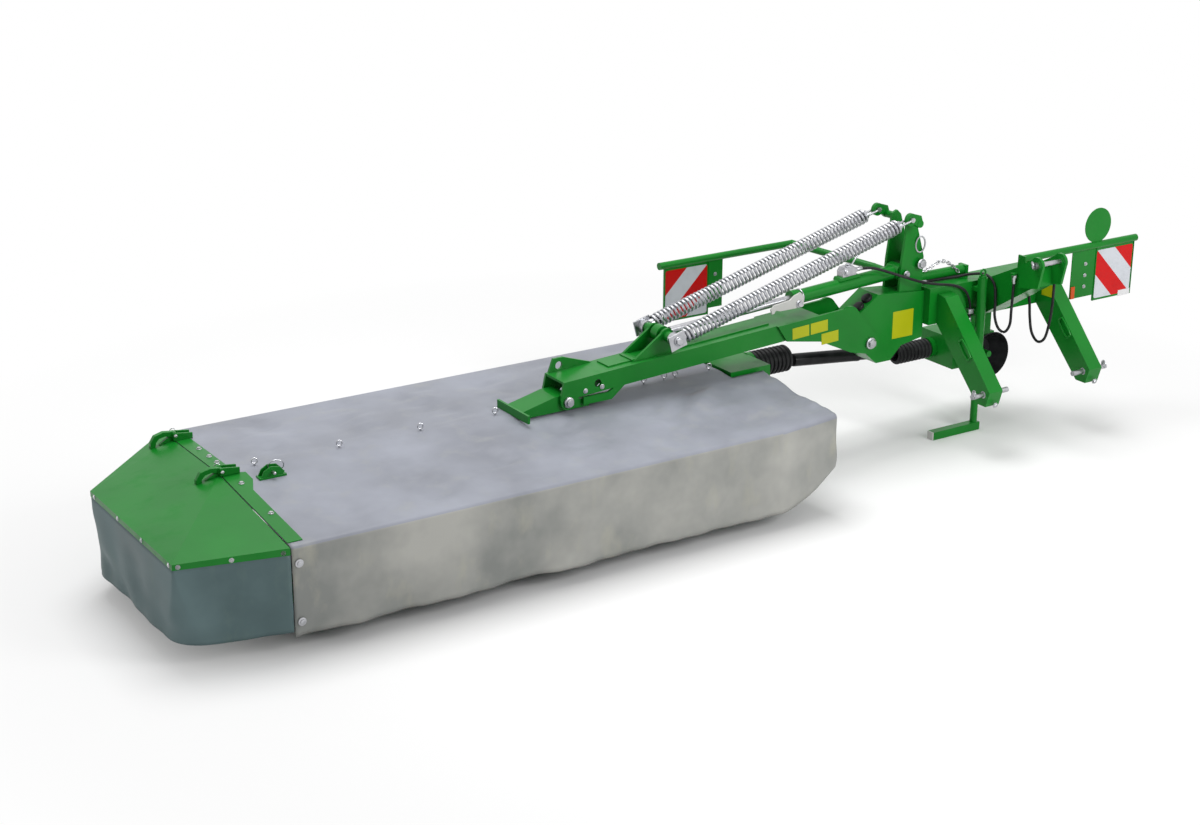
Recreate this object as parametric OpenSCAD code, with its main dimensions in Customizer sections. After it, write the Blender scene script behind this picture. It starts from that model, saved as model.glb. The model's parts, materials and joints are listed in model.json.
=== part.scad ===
// Rear-mounted disc mower with a centre-suspended cutter bar, parked on its skids and its stand.
// X runs from the outer end towards the tractor hitch, -Y is the direction of travel, Z is up.
// The origin is on the floor, under the middle of the cutter bar and below the cover's ridge.

/* [Cover] */
// Half length of the straight part of the cover
cover_half = 1283; // [1240:1:1340]
// Distance from the middle of the cover to its inner end
cover_inner = 1645; // [1600:1:1690]
// Distance of the front edge from the ridge
cover_front = 735; // [680:1:800]
// Distance of the rear edge from the ridge
cover_rear = 685; // [640:1:740]
// Height of the ridge above the floor
ridge_z = 574; // [560:1:600]
// Drop from the ridge to the front edge
front_drop = 79; // [50:1:100]
// Drop from the ridge to the rear edge
rear_drop = 8; // [2:1:30]
// Height of the hem above the floor
hem_z = 80; // [60:1:120]
// Height of the hem at the inner end, where the curtain is cut away
hem_inner_z = 232; // [180:1:280]
// Thickness of the coated cloth
cloth_t = 5; // [3:0.5:8]
// Side of the square rails under the cloth
rail_s = 30; // [24:1:36]
// Pitch of the ribs and eye bolts along the cover
rib_pitch = 420; // [380:1:440]
// Thickness of a rib
rib_t = 8; // [5:1:12]
// Depth of a rib
rib_h = 45; // [30:1:60]

/* [End cover] */
// Reach of the folding end cover beyond the cover
end_reach = 481; // [420:1:540]
// Drop of the end cover from its hinge to its outer edge
end_drop = 86; // [60:1:110]
// Front end of the outer edge
end_front = 621; // [540:1:680]
// Rear end of the outer edge
end_rear = 341; // [280:1:420]
// Thickness of the folded sheet
sheet_t = 4; // [3:0.5:6]
// Depth of the bolted flange round the lower edge
flange_h = 26; // [20:1:34]
// Height of the hem of the end curtain above the floor
end_hem_z = 108; // [90:1:140]
// Gap between the end cover and the cover
end_gap = 6; // [5:0.5:10]
// Height of the end cover's hinge pin above the ridge
hinge_rise = 22; // [18:1:30]
// Distance of the rear hinge from the front hinge
hinge_pitch = 545; // [480:1:580]
// Radius of the end cover's hinge pins
hinge_pin_r = 8; // [6:0.5:9]

/* [Cutter bar] */
// Number of cutting discs
disc_count = 7; // [7:1:7]
// Distance between the discs
disc_pitch = 420; // [416:1:428]
// Distance of the disc row in front of the ridge
disc_row = 200; // [180:1:220]
// Half width of the cutter bar
bar_half = 120; // [105:1:130]
// Height of the cutter bar's flat underside above the floor
bar_low = 22; // [18:1:26]
// Thickness of the cutter bar
bar_t = 48; // [42:1:52]
// Radius of a disc
disc_r = 168; // [150:1:175]
// Radius of the circle that the blade tips run on
blade_tip_r = 204; // [195:1:205]
// Width of a skid
skid_w = 190; // [150:1:220]
// Width of the carrier beam
beam_w = 120; // [100:1:140]
// Height of the carrier beam
beam_h = 120; // [100:1:140]

/* [Boom] */
// Distance of the boom's centre plane in front of the ridge
boom_front = 25; // [15:1:35]
// Width of the boom
boom_w = 180; // [172:1:190]
// Height of the boom's box section
boom_h = 92; // [84:1:100]
// Slope of the boom towards the hitch, in degrees
boom_slope = 3.2; // [2.6:0.1:3.8]
// Height of the boom's axis above the mower pin, at the pin
boom_rise = 57; // [54:1:64]
// Distance of the mower pin from the middle of the cover
pivot_x = 462; // [440:1:480]
// Height of the mower pin above the ridge
pivot_rise = 46; // [46:1:54]
// Radius of the mower pin
pivot_r = 20; // [16:1:22]
// Horizontal distance between the mower pin and the swing pin
boom_len = 1868; // [1850:1:1890]
// Height of the swing pin above the floor
swing_z = 602; // [596:1:612]
// Radius of the swing pin
swing_r = 22; // [18:1:25]
// Thickness of the boom's nose plates
nose_t = 14; // [10:1:18]
// Thickness of the fork plates
fork_t = 14; // [10:1:16]

/* [Springs and lift cylinder] */
// Half the distance between the two relief springs
spring_half = 134; // [130:1:142]
// Outer radius of a spring
spring_r = 38; // [36:1:42]
// Radius of the spring wire
wire_r = 6; // [5:0.25:7]
// Number of turns of a spring
spring_turns = 60; // [56:1:68]
// Distance of the lower spring bar from the mower pin
bracket_dx = 594; // [570:1:620]
// Height of the lower spring bar above the boom
bracket_h = 88; // [82:1:100]
// Radius of the lower spring bar
bracket_r = 27; // [22:1:30]
// Distance of the upper spring hooks behind the swing pin
hook_dx = 210; // [190:1:225]
// Height of the upper spring hooks above the swing pin
hook_dz = 646; // [620:1:670]
// Outer radius of the lift cylinder's barrel
barrel_r = 37; // [32:1:40]
// Length of the lift cylinder's barrel
barrel_len = 715; // [680:1:740]
// Radius of the lift cylinder's rod
rod_r = 20; // [16:1:24]

/* [Hitch] */
// Distance of the hitch centre from the swing pin
hitch_dx = 850; // [835:1:870]
// Half the distance between the outer shoulders of the lower link pins
shoulder_half = 412; // [404:1:416]
// Width of a hitch leg
leg_w = 94; // [84:1:104]
// Distance of the lower link pins in front of the ridge
link_front = 545; // [520:1:570]
// Height of the lower link pins above the floor
link_z = 352; // [335:1:370]
// Radius of the lower link pins, for a category 2 ball of 28.7 mm
link_r = 14; // [11:0.5:14]
// Length of a lower link pin outside its leg
link_free = 78; // [70:1:95]
// Height of the top link pin above the lower link pins
mast_h = 655; // [610:1:690]
// Radius of the top link pin
top_r = 12.5; // [9.5:0.5:13]
// Depth of the cross beam
cross_d = 150; // [130:1:160]
// Height of the cross beam
cross_h = 200; // [180:1:210]
// Height of the cross beam's underside above the floor
cross_z = 640; // [630:1:650]

/* [Drive] */
// Distance of the drive shaft behind the ridge
shaft_back = 125; // [122:1:134]
// Height of the drive shaft at the mower
shaft_mower_z = 514; // [505:1:522]
// Height of the drive shaft at the hitch gearbox
shaft_hitch_z = 396; // [384:1:404]
// Radius of the drive shaft's guard tube
shaft_r = 35; // [30:1:36]
// Outer radius of the ribbed boot at the mower
boot_r = 72; // [66:1:76]
// Outer radius of the ribbed boot at the hitch
hitch_boot_r = 56; // [52:1:60]
// Length of a ribbed boot
boot_len = 235; // [215:1:240]
// Radius of the power take-off guard
guard_r = 130; // [110:1:135]

/* [Boards and stand] */
// Side of the square warning boards
board_s = 296; // [280:1:300]
// Distance of the left board behind the ridge
board_left_back = 800; // [780:1:830]
// Distance of the right board in front of the ridge
board_right_front = 265; // [250:1:280]
// Radius of the tubes that carry the boards
arm_r = 20; // [16:1:22]
// Outer radius of the parking stand's sleeve
sleeve_r = 26; // [25:1:29]
// Radius of the parking stand's leg
stand_r = 20; // [16:1:20]
// Side of the square bar that is the parking stand's foot
foot_s = 45; // [40:1:50]
// Reach of the foot towards the mower
foot_reach = 306; // [280:1:330]

/* [Hidden] */
// Gap between faces of pieces that touch in use
seat = 0.3;
// Radial clearance of a pin in the bore that turns on it
pin_gap = 0.3;
// Radial clearance of a pin in the bore that holds it
fit_gap = 0.1;
// Side gap between a lug and the plates beside it
side_gap = 5;
$fn = 48;

boom_y = -boom_front;
front_z = ridge_z - front_drop;
rear_z = ridge_z - rear_drop;
pivot_z = ridge_z + pivot_rise;
swing_x = pivot_x + boom_len;
hitch_x = swing_x + hitch_dx;
boom_near = boom_y - boom_w / 2;
boom_far = boom_y + boom_w / 2;

// Height of the cover's upper face at a distance y from the ridge
function cover_z(y) = y < 0 ? ridge_z + y * front_drop / cover_front : ridge_z - y * rear_drop / cover_rear;
// Heights of the boom's axis, upper face and lower face at x
function boom_axis(x) = pivot_z + boom_rise + (x - pivot_x) * tan(boom_slope);
function boom_top(x) = boom_axis(x) + boom_h / 2;
function boom_low(x) = boom_axis(x) - boom_h / 2;

spring_bar = [pivot_x + bracket_dx, boom_top(pivot_x + bracket_dx) + bracket_h];
spring_hook = [swing_x + hook_dx, swing_z + hook_dz];
spring_angle = atan2(spring_hook[1] - spring_bar[1], spring_hook[0] - spring_bar[0]);
spring_len = norm(spring_hook - spring_bar);

green = [0.02, 0.36, 0.10];
cloth_grey = [0.47, 0.47, 0.49];
steel = [0.75, 0.75, 0.77];
black = [0.05, 0.05, 0.05];
dark_steel = [0.22, 0.22, 0.23];

// A plate in the XZ plane, centred on y
module plate_xz(points, y, t) {
    translate([0, y + t / 2, 0]) rotate([90, 0, 0]) linear_extrude(t) polygon(points);
}

// A plate or bar in the YZ plane that starts at x and runs towards the hitch
module plate_yz(points, x, t) {
    translate([x, 0, 0]) rotate([90, 0, 90]) linear_extrude(t) polygon(points);
}

// A plate in the XY plane that starts at z
module plate_xy(points, z, t) {
    translate([0, 0, z]) linear_extrude(t) polygon(points);
}

// A round bar along Y
module bar_y(x, y0, y1, z, r) {
    translate([x, y1, z]) rotate([90, 0, 0]) cylinder(h = y1 - y0, r = r);
}

// A round bar along X
module bar_x(x0, x1, y, z, r) {
    translate([x0, y, z]) rotate([0, 90, 0]) cylinder(h = x1 - x0, r = r);
}

// A box from its low corner to its high corner
module box(low, high) {
    translate(low) cube(high - low);
}

// A round bar between two points
module bar_between(a, b, r) {
    d = b - a;
    l = norm(d);
    translate(a) rotate([0, acos(d[2] / l), atan2(d[1], d[0])]) cylinder(h = l, r = r);
}

// A bent tube through a list of points, with round elbows
module bent_tube(points, r) {
    for (i = [0 : len(points) - 2]) bar_between(points[i], points[i + 1], r);
    for (i = [1 : len(points) - 2]) translate(points[i]) sphere(r = r * 1.04);
}

// The boot's rings seen from its axis: a sleeve with round ribs
module ribbed_boot(length, outer, inner, rib_count) {
    rib = length / rib_count;
    depth = rib * 0.32;
    rotate_extrude() difference() {
        union() {
            translate([inner, 0]) square([outer - depth - inner, length]);
            for (i = [0 : rib_count - 1]) translate([outer - depth, (i + 0.5) * rib]) circle(r = depth, $fn = 24);
        }
        translate([inner - outer, -outer]) square([outer, length + 2 * outer]);
    }
}

bar_y0 = -disc_row - bar_half;
bar_y1 = -disc_row + bar_half;
bar_top = bar_low + bar_t;
bar_end = (disc_count - 1) / 2 * disc_pitch + bar_half;
column_r = 58;
column_x = (disc_count - 1) / 2 * disc_pitch + blade_tip_r + column_r + 12;
hub_h = 10;
disc_z = bar_top + hub_h + seat;

module cutter_bar() {
    edge = 24;
    profile = [
        [bar_y0, bar_low + edge * 0.8], [bar_y0 + edge, bar_top], [bar_y1 - edge, bar_top],
        [bar_y1, bar_top - edge / 3], [bar_y1, bar_low], [bar_y0 + edge, bar_low]
    ];
    color(green) {
        plate_yz(profile, -bar_end, bar_end + column_x + column_r);
        for (i = [0 : disc_count - 1])
            translate([disc_x(i), -disc_row, bar_top]) cylinder(h = hub_h, r = 62);
    }
}

function disc_x(i) = (i - (disc_count - 1) / 2) * disc_pitch;

// Shoes under the bar, turned up in front of it
module skids() {
    nose = 36;
    sole = bar_low - seat;
    tail = 30;
    profile = [
        [bar_y0 - nose, bar_low + nose], [bar_y0 - nose / 2, bar_low + nose],
        [bar_y0 + 4, sole], [tail, sole], [tail, 0], [bar_y0, 0]
    ];
    color(dark_steel)
        for (i = [0 : disc_count - 1]) plate_yz(profile, disc_x(i) - skid_w / 2, skid_w);
}

// One oval disc with its two blades, turned by a quarter from its neighbour
module disc(i) {
    plate = 8;
    crown_h = 26;
    flat = disc_r * 0.86;
    blade_w = 46;
    blade_t = 4;
    color(dark_steel) translate([disc_x(i), -disc_row, disc_z]) rotate([0, 0, 90 * (i % 2)]) {
        intersection() {
            union() {
                cylinder(h = plate, r = disc_r);
                translate([0, 0, plate]) cylinder(h = crown_h - plate, r1 = disc_r * 0.72, r2 = disc_r * 0.4);
            }
            translate([-disc_r, -flat, 0]) cube([2 * disc_r, 2 * flat, crown_h]);
        }
        for (s = [-1, 1]) translate([s > 0 ? disc_r * 0.8 : -blade_tip_r, -blade_w / 2, 0])
            cube([blade_tip_r - disc_r * 0.8 - 2, blade_w, blade_t]);
    }
}
module disc_1() { disc(0); }
module disc_2() { disc(1); }
module disc_3() { disc(2); }
module disc_4() { disc(3); }
module disc_5() { disc(4); }
module disc_6() { disc(5); }
module disc_7() { disc(6); }

beam_y0 = boom_y - beam_w / 2;
beam_y1 = boom_y + beam_w / 2;
beam_top = min(cover_z(beam_y0), cover_z(beam_y1)) - cloth_t - seat;
beam_x0 = -cover_half + 30;
beam_x1 = cover_inner - 190;

module carrier_beam() {
    color(green) box([beam_x0, beam_y0, beam_top - beam_h], [beam_x1, beam_y1, beam_top]);
}

// Arms that pass behind the discs and carry the bar from the beam
module bar_brackets() {
    t = 14;
    clear = -disc_row + blade_tip_r + 10;
    under = beam_top - beam_h;
    arm = 44;
    profile = [
        [bar_y1, bar_low + 4], [clear + arm * 0.6, bar_low + 4], [clear + arm, bar_top],
        [clear + arm, under - 2 * arm], [beam_y1, under], [beam_y0, under],
        [clear, under - 2 * arm], [clear, bar_top], [bar_y1, bar_top - 10]
    ];
    color(green)
        for (x = [disc_x(0) + 47, -t / 2, disc_x(disc_count - 1) + 135]) plate_yz(profile, x, t);
}

rib_first = -cover_half + 178;
rib_count = 7;
function rib_x(i) = rib_first + i * rib_pitch;

// Rails and ribs that carry the cloth
module cover_frame() {
    y_front = -cover_front + cloth_t + seat;
    y_rear = cover_rear - cloth_t - seat;
    lining = cloth_t + seat;
    front_top = cover_z(y_front) - lining;
    rear_top = cover_z(y_rear) - lining;
    front_rail = [
        [y_front, front_top], [y_front + rail_s, cover_z(y_front + rail_s) - lining],
        [y_front + rail_s, front_top - rail_s], [y_front, front_top - rail_s]
    ];
    rear_rail = [
        [y_rear, rear_top], [y_rear - rail_s, cover_z(y_rear - rail_s) - lining],
        [y_rear - rail_s, rear_top - rail_s], [y_rear, rear_top - rail_s]
    ];
    front_rib = [
        [y_front + rail_s, cover_z(y_front + rail_s) - lining], [beam_y0, cover_z(beam_y0) - lining],
        [beam_y0, beam_top - rib_h], [y_front + rail_s, front_top - rail_s]
    ];
    rear_rib = [
        [y_rear - rail_s, cover_z(y_rear - rail_s) - lining], [beam_y1, cover_z(beam_y1) - lining],
        [beam_y1, beam_top - rib_h], [y_rear - rail_s, rear_top - rail_s]
    ];
    color(green) {
        for (rail = [front_rail, rear_rail]) plate_yz(rail, -cover_half, cover_half + cover_inner - cloth_t - seat);
        for (i = [0 : rib_count - 1]) {
            plate_yz(front_rib, min(rib_x(i), beam_x1 - rib_t), rib_t);
            plate_yz(rear_rib, min(rib_x(i), beam_x1 - rib_t), rib_t);
        }
    }
}

// Gearbox at the inner end of the mower, and the notch that the cloth leaves round it
gear_x0 = beam_x1;
gear_x1 = cover_inner + 60;
gear_half = 68;
shaft_y = shaft_back;
notch_gap = 12;
notch_y0 = boom_y - beam_w / 2 - 20;
notch_y1 = shaft_y + boot_r + notch_gap;

module cover_top() {
    profile = [
        [-cover_front, front_z], [0, ridge_z], [cover_rear, rear_z],
        [cover_rear, rear_z - cloth_t], [0, ridge_z - cloth_t], [-cover_front, front_z - cloth_t]
    ];
    color(cloth_grey) difference() {
        plate_yz(profile, -cover_half, cover_half + cover_inner);
        box([gear_x0 - notch_gap, notch_y0, 0], [cover_inner + 1, notch_y1, ridge_z + 1]);
    }
}

// Curtain with a straight hem that sweeps up to the inner end
module curtain(y, top) {
    sweep = cover_inner - cover_half;
    rise = hem_inner_z - hem_z;
    hem = [for (i = [0 : 8]) [cover_half + sweep * i / 8, hem_z + rise * pow(i / 8, 1.6)]];
    color(cloth_grey)
        plate_xz(concat([[-cover_half, top], [-cover_half, hem_z]], hem, [[cover_inner, top]]), y, cloth_t);
}
module front_curtain() { curtain(-cover_front + cloth_t / 2, front_z - cloth_t - seat); }
module rear_curtain() { curtain(cover_rear - cloth_t / 2, rear_z - cloth_t - seat); }

module inner_curtain() {
    y0 = -cover_front + cloth_t + seat;
    y1 = cover_rear - cloth_t - seat;
    lining = cloth_t + seat;
    color(cloth_grey) difference() {
        plate_yz([[y0, hem_inner_z], [y1, hem_inner_z], [y1, cover_z(y1) - lining], [0, ridge_z - lining],
            [y0, cover_z(y0) - lining]], cover_inner - cloth_t, cloth_t);
        box([cover_inner - 2 * cloth_t, notch_y0, shaft_mower_z - boot_r - notch_gap - 60],
            [cover_inner + cloth_t, notch_y1, ridge_z + 1]);
    }
}

hinge_x = -cover_half;
hinge_z = ridge_z + hinge_rise;
lug_t = 8;
lug_gap = 20;

// Sheet strip bolted on the cloth beside the joint, with the fixed hinge lugs and their pins
module end_strip() {
    strip_w = 70;
    y0 = -cover_front + 40;
    y1 = cover_rear - 30;
    profile = [
        [y0, cover_z(y0) + seat], [0, ridge_z + seat], [y1, cover_z(y1) + seat],
        [y1, cover_z(y1) + seat + sheet_t], [0, ridge_z + seat + sheet_t], [y0, cover_z(y0) + seat + sheet_t]
    ];
    color(green) {
        plate_yz(profile, -cover_half, strip_w);
        for (y = [0, hinge_pitch], s = [-1, 1]) {
            yc = y + s * (lug_gap + lug_t) / 2;
            bar_y(hinge_x, yc - lug_t / 2, yc + lug_t / 2, hinge_z, 2 * hinge_pin_r);
            plate_xz([[hinge_x, hinge_z + 2 * hinge_pin_r], [hinge_x + 2 * hinge_pin_r, hinge_z],
                [hinge_x + 60, cover_z(y) + sheet_t], [hinge_x + 60, cover_z(y) + seat + 1],
                [hinge_x, cover_z(y) + seat + 1]], yc, lug_t);
        }
        for (y = [0, hinge_pitch])
            bar_y(hinge_x, y - lug_gap / 2 - lug_t - 8, y + lug_gap / 2 + lug_t + 8, hinge_z, hinge_pin_r);
    }
}

end_x = -cover_half - end_reach;
end_in = -cover_half - end_gap;
end_low = ridge_z - end_drop;
// Plan of the end cover's lower edge, from the front corner round to the rear corner
end_plan = [[end_in, -cover_front], [end_x, -end_front], [end_x, end_rear], [end_in, cover_rear]];
end_inset = [
    [end_in, -cover_front + cloth_t], [end_x + cloth_t, -end_front + cloth_t],
    [end_x + cloth_t, end_rear - cloth_t], [end_in, cover_rear - cloth_t]
];

// Solid between the end cover's facets and a copy of them lower down
module faceted(upper, lower) {
    facets = [[0, 1, 5], [1, 2, 5], [2, 4, 5], [2, 3, 4]];
    polyhedron(concat(upper, lower), concat(
        facets,
        [for (f = facets) [f[2] + 6, f[1] + 6, f[0] + 6]],
        [for (i = [0 : 5]) [i, i + 6, (i + 1) % 6 + 6, (i + 1) % 6]]
    ));
}

// Folded sheet of four facets with a flange, and the knuckles that turn on the hinge pins
module end_cover() {
    top = [
        [end_in, -cover_front, end_low + 6], [end_x, -end_front, end_low], [end_x, end_rear, end_low],
        [end_in, cover_rear, rear_z], [end_in, hinge_pitch, cover_z(hinge_pitch) + sheet_t],
        [end_in, 0, ridge_z + sheet_t]
    ];
    foot_z = end_low - flange_h;
    wall = concat(end_plan, [end_inset[3], end_inset[2], end_inset[1], end_inset[0]]);
    color(green) {
        faceted(top, [for (p = top) p - [0, 0, sheet_t]]);
        intersection() {
            faceted(top, [for (p = top) [p[0], p[1], foot_z]]);
            plate_xy(wall, foot_z - 1, ridge_z);
        }
        for (y = [0, hinge_pitch]) difference() {
            union() {
                bar_y(hinge_x, y - lug_gap / 2 + 2, y + lug_gap / 2 - 2, hinge_z, 2 * hinge_pin_r);
                plate_xz([[hinge_x, hinge_z + 2 * hinge_pin_r], [hinge_x - 2 * hinge_pin_r, hinge_z],
                    [end_in - 70, cover_z(y) - 6], [end_in - 8, cover_z(y) + 1], [hinge_x - 2, hinge_z - 14]],
                    y, lug_gap - 4);
            }
            bar_y(hinge_x, y - lug_gap, y + lug_gap, hinge_z, hinge_pin_r + pin_gap);
        }
    }
}

module end_curtain() {
    color(cloth_grey)
        plate_xy(concat(end_plan, [end_inset[3], end_inset[2], end_inset[1], end_inset[0]]),
            end_hem_z, end_low - flange_h - seat - end_hem_z);
}

// Foot on the ridge with the lug that hangs on the mower pin
module mower_foot() {
    base = ridge_z + seat;
    half = boom_w / 2 - nose_t - side_gap;
    flange_x = pivot_x - 248;
    flange_half = 145;
    flange_t = 12;
    lug_r = 40;
    rear_x = pivot_x + 130;
    color(green) difference() {
        union() {
            plate_xz([[flange_x, base], [rear_x, base], [rear_x, base + 30], [pivot_x + 40, pivot_z + 10],
                [pivot_x, pivot_z + 36], [pivot_x - 60, pivot_z + 32], [flange_x, base + 34]], boom_y, 2 * half);
            box([flange_x - flange_t, boom_y - flange_half, base], [flange_x, boom_y + flange_half, base + 40]);
            bar_y(pivot_x, boom_y - boom_w / 2 + nose_t + seat, boom_y + boom_w / 2 - nose_t - seat,
                pivot_z, lug_r - 4);
        }
        bar_y(pivot_x, boom_near, boom_far, pivot_z, pivot_r + pin_gap);
    }
}

boot_x0 = gear_x1 + 30;
boot_x1 = boot_x0 + boot_len;

// Bevel gearbox with the column that drives the bar and the stub that the drive shaft sits on
module mower_gearbox() {
    low = shaft_mower_z - gear_half;
    bevel_half = 66;
    color(green) {
        box([gear_x0, beam_y0, low], [gear_x1, shaft_y + gear_half, shaft_mower_z + gear_half]);
        box([column_x - bevel_half, -disc_row - bevel_half, low],
            [column_x + bevel_half, beam_y0, cover_z(-disc_row - bevel_half) - 2 * cloth_t]);
        translate([column_x, -disc_row, bar_top]) cylinder(h = low - bar_top, r = column_r);
        bar_x(gear_x1, boot_x0 - seat, shaft_y, shaft_mower_z, boot_r);
        bar_x(boot_x0 - seat, boot_x0 + 50, shaft_y, shaft_mower_z, 18);
    }
}

// A ribbed boot that lies along the drive shaft's axis
module boot_at(x0, z, outer) {
    color(black) translate([x0, shaft_y, z]) rotate([0, 90, 0])
        ribbed_boot(boot_len, outer, shaft_r + 1, 9);
}
module mower_boot() { boot_at(boot_x0, shaft_mower_z, boot_r); }

// Side outline of the boom's nose: the lobe round the mower pin and the plate above it
nose_x = pivot_x - 22;
tube_x0 = pivot_x + 240;
tube_x1 = swing_x - 340;
lobe_r = 40;

module nose_plate(y, rear) {
    top = rear ? 66 : 0;
    lock_x = pivot_x + 50;
    lock_z = boom_top(lock_x) + 26;
    difference() {
        union() {
            plate_xz([[nose_x - 20, pivot_z + 15], [nose_x, boom_top(nose_x)], [tube_x0, boom_top(tube_x0)],
                [tube_x0, boom_low(tube_x0)], [pivot_x + 60, boom_low(pivot_x + 60)],
                [pivot_x + lobe_r * 0.7, pivot_z - lobe_r * 0.7], [pivot_x - lobe_r * 0.7, pivot_z - lobe_r * 0.7]],
                y, nose_t);
            bar_y(pivot_x, y - nose_t / 2, y + nose_t / 2, pivot_z, lobe_r);
            if (rear) plate_xz([[nose_x - 20, pivot_z + 15], [lock_x - 32, lock_z + 38], [lock_x + 26, lock_z + 38],
                [tube_x0, boom_top(tube_x0)]], y, nose_t);
        }
        bar_y(pivot_x, y - nose_t, y + nose_t, pivot_z, pivot_r + fit_gap);
        bar_y(pivot_x + 170, y - nose_t, y + nose_t, pivot_z + 66, 20);
        if (rear) bar_y(lock_x, y - nose_t, y + nose_t, lock_z, 20);
    }
}

// Bent bar that stops the mower's swing, below the nose
module stop_arm(y) {
    low = pivot_z - lobe_r * 0.75;
    depth = 38;
    x0 = pivot_x + 88;
    x1 = pivot_x + 250;
    plate_xz([[x0, low], [x1, low], [x1 + 80, boom_low(x1 + 80) + 4], [x1 + 25, boom_low(x1 + 25) + 4],
        [x1 - 22, low + depth], [x0, low + depth]], y, nose_t);
}

module boom() {
    near = boom_near + nose_t / 2;
    far = boom_far - nose_t / 2;
    cap_t = 12;
    color(green) {
        plate_xz([[tube_x0, boom_top(tube_x0)], [tube_x1, boom_top(tube_x1)], [tube_x1, boom_low(tube_x1)],
            [tube_x0, boom_low(tube_x0)]], boom_y, boom_w);
        plate_xz([[nose_x, boom_top(nose_x)], [tube_x0, boom_top(tube_x0)],
            [tube_x0, boom_top(tube_x0) - cap_t], [nose_x, boom_top(nose_x) - cap_t]], boom_y, boom_w);
        nose_plate(near, false);
        nose_plate(far, true);
        stop_arm(near);
        stop_arm(far);
    }
}

// Two plates on the sides of the box that carry the swing pin
module boom_fork() {
    cheek_r = 60;
    hump = [swing_x - 145, boom_top(swing_x - 145) - 56];
    hump_r = 62;
    x0 = swing_x - 615;
    outline = [
        [x0, boom_top(x0)], [hump[0] - 40, boom_top(hump[0] - 40)], [hump[0], hump[1] + hump_r],
        [hump[0] + hump_r * 0.75, hump[1] + hump_r * 0.66], [swing_x + cheek_r, swing_z + 10],
        [swing_x + cheek_r * 0.6, swing_z - cheek_r * 0.8], [swing_x - 20, swing_z - cheek_r * 0.94],
        [swing_x - 130, swing_z - 30], [swing_x - 336, boom_low(swing_x - 336) - 50],
        [x0 + 60, boom_low(x0 + 60)]
    ];
    color(green) for (y = [boom_near - fork_t / 2 - seat, boom_far + fork_t / 2 + seat]) difference() {
        union() {
            plate_xz(outline, y, fork_t);
            bar_y(hump[0], y - fork_t / 2, y + fork_t / 2, hump[1], hump_r);
            bar_y(swing_x, y - fork_t / 2, y + fork_t / 2, swing_z, cheek_r);
        }
        bar_y(swing_x, y - fork_t, y + fork_t, swing_z, swing_r + fit_gap);
    }
}

// A headed pin along Y with a nut behind
module headed_pin(x, z, near, far, r) {
    head = 8;
    bar_y(x, near - seat, far + seat, z, r);
    bar_y(x, near - seat - head, near - seat, z, r * 1.35);
    bar_y(x, far + seat, far + seat + head, z, r * 1.35);
}
module mower_pin() { color(steel) headed_pin(pivot_x, pivot_z, boom_near, boom_far, pivot_r); }
module swing_pin() {
    color(steel) headed_pin(swing_x, swing_z, boom_near - fork_t - seat, boom_far + fork_t + seat, swing_r);
}

ear_half = 55;
ear_t = 14;

// Ears on the boom with the round bar that holds the springs and the rod's eye
module spring_bracket() {
    base0 = spring_bar[0] - 205;
    base1 = spring_bar[0] + 30;
    eye_half = 26;
    color(green) {
        for (s = [-1, 1]) {
            y = boom_y + s * ear_half;
            plate_xz([[base0, boom_top(base0) + seat], [base1, boom_top(base1) + seat],
                [spring_bar[0] + bracket_r * 0.7, spring_bar[1] - bracket_r],
                [spring_bar[0] + bracket_r, spring_bar[1]], [spring_bar[0] - bracket_r * 0.8, spring_bar[1] + bracket_r]],
                y, ear_t);
            bar_y(spring_bar[0], y - ear_t / 2, y + ear_t / 2, spring_bar[1], bracket_r + 12);
        }
        bar_half_y = spring_half - plug_r - seat;
        bar_y(spring_bar[0], boom_y - bar_half_y, boom_y + bar_half_y, spring_bar[1], bracket_r);
        bar_y(spring_bar[0], boom_y - eye_half, boom_y + eye_half, spring_bar[1], eye_r);
        plate_xz([[base0, boom_top(base0) + seat], [base0 + 40, boom_top(base0 + 40) + seat],
            [base0 + 40, boom_top(base0 + 40) + 12], [base0, boom_top(base0) + 12]], boom_y, 2 * ear_half);
    }
}

eye_r = 42;

// Plates bolted to the ends of the spring bar, with the plug that the spring is screwed on
module spring_seats() {
    plug_len = 46;
    color(steel) for (s = [-1, 1]) {
        y = boom_y + s * spring_half;
        inner = y - s * plug_r;
        outer = y + s * 14;
        bar_y(spring_bar[0], min(inner, outer), max(inner, outer), spring_bar[1], 34);
        translate([spring_bar[0], y, spring_bar[1]]) rotate([0, 90 - spring_angle, 0])
            cylinder(h = coil_start + plug_len, r = plug_r);
    }
}

coil_start = 52;
coil_end = 96;
coil_sides = 4;
coil_steps = 8;
plug_r = (spring_r - 2 * wire_r) * cos(180 / coil_steps) - seat;

// Cross section k of a ring round the helix at turn t, along the spring's own axis
function helix_point(t, k, turns, length, sides) =
    let (a = 360 * t, r = spring_r - wire_r, z = length * t / turns + wire_r, b = 360 * k / sides)
    [(r + wire_r * cos(b)) * cos(a), (r + wire_r * cos(b)) * sin(a), z + wire_r * sin(b)];

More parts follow.
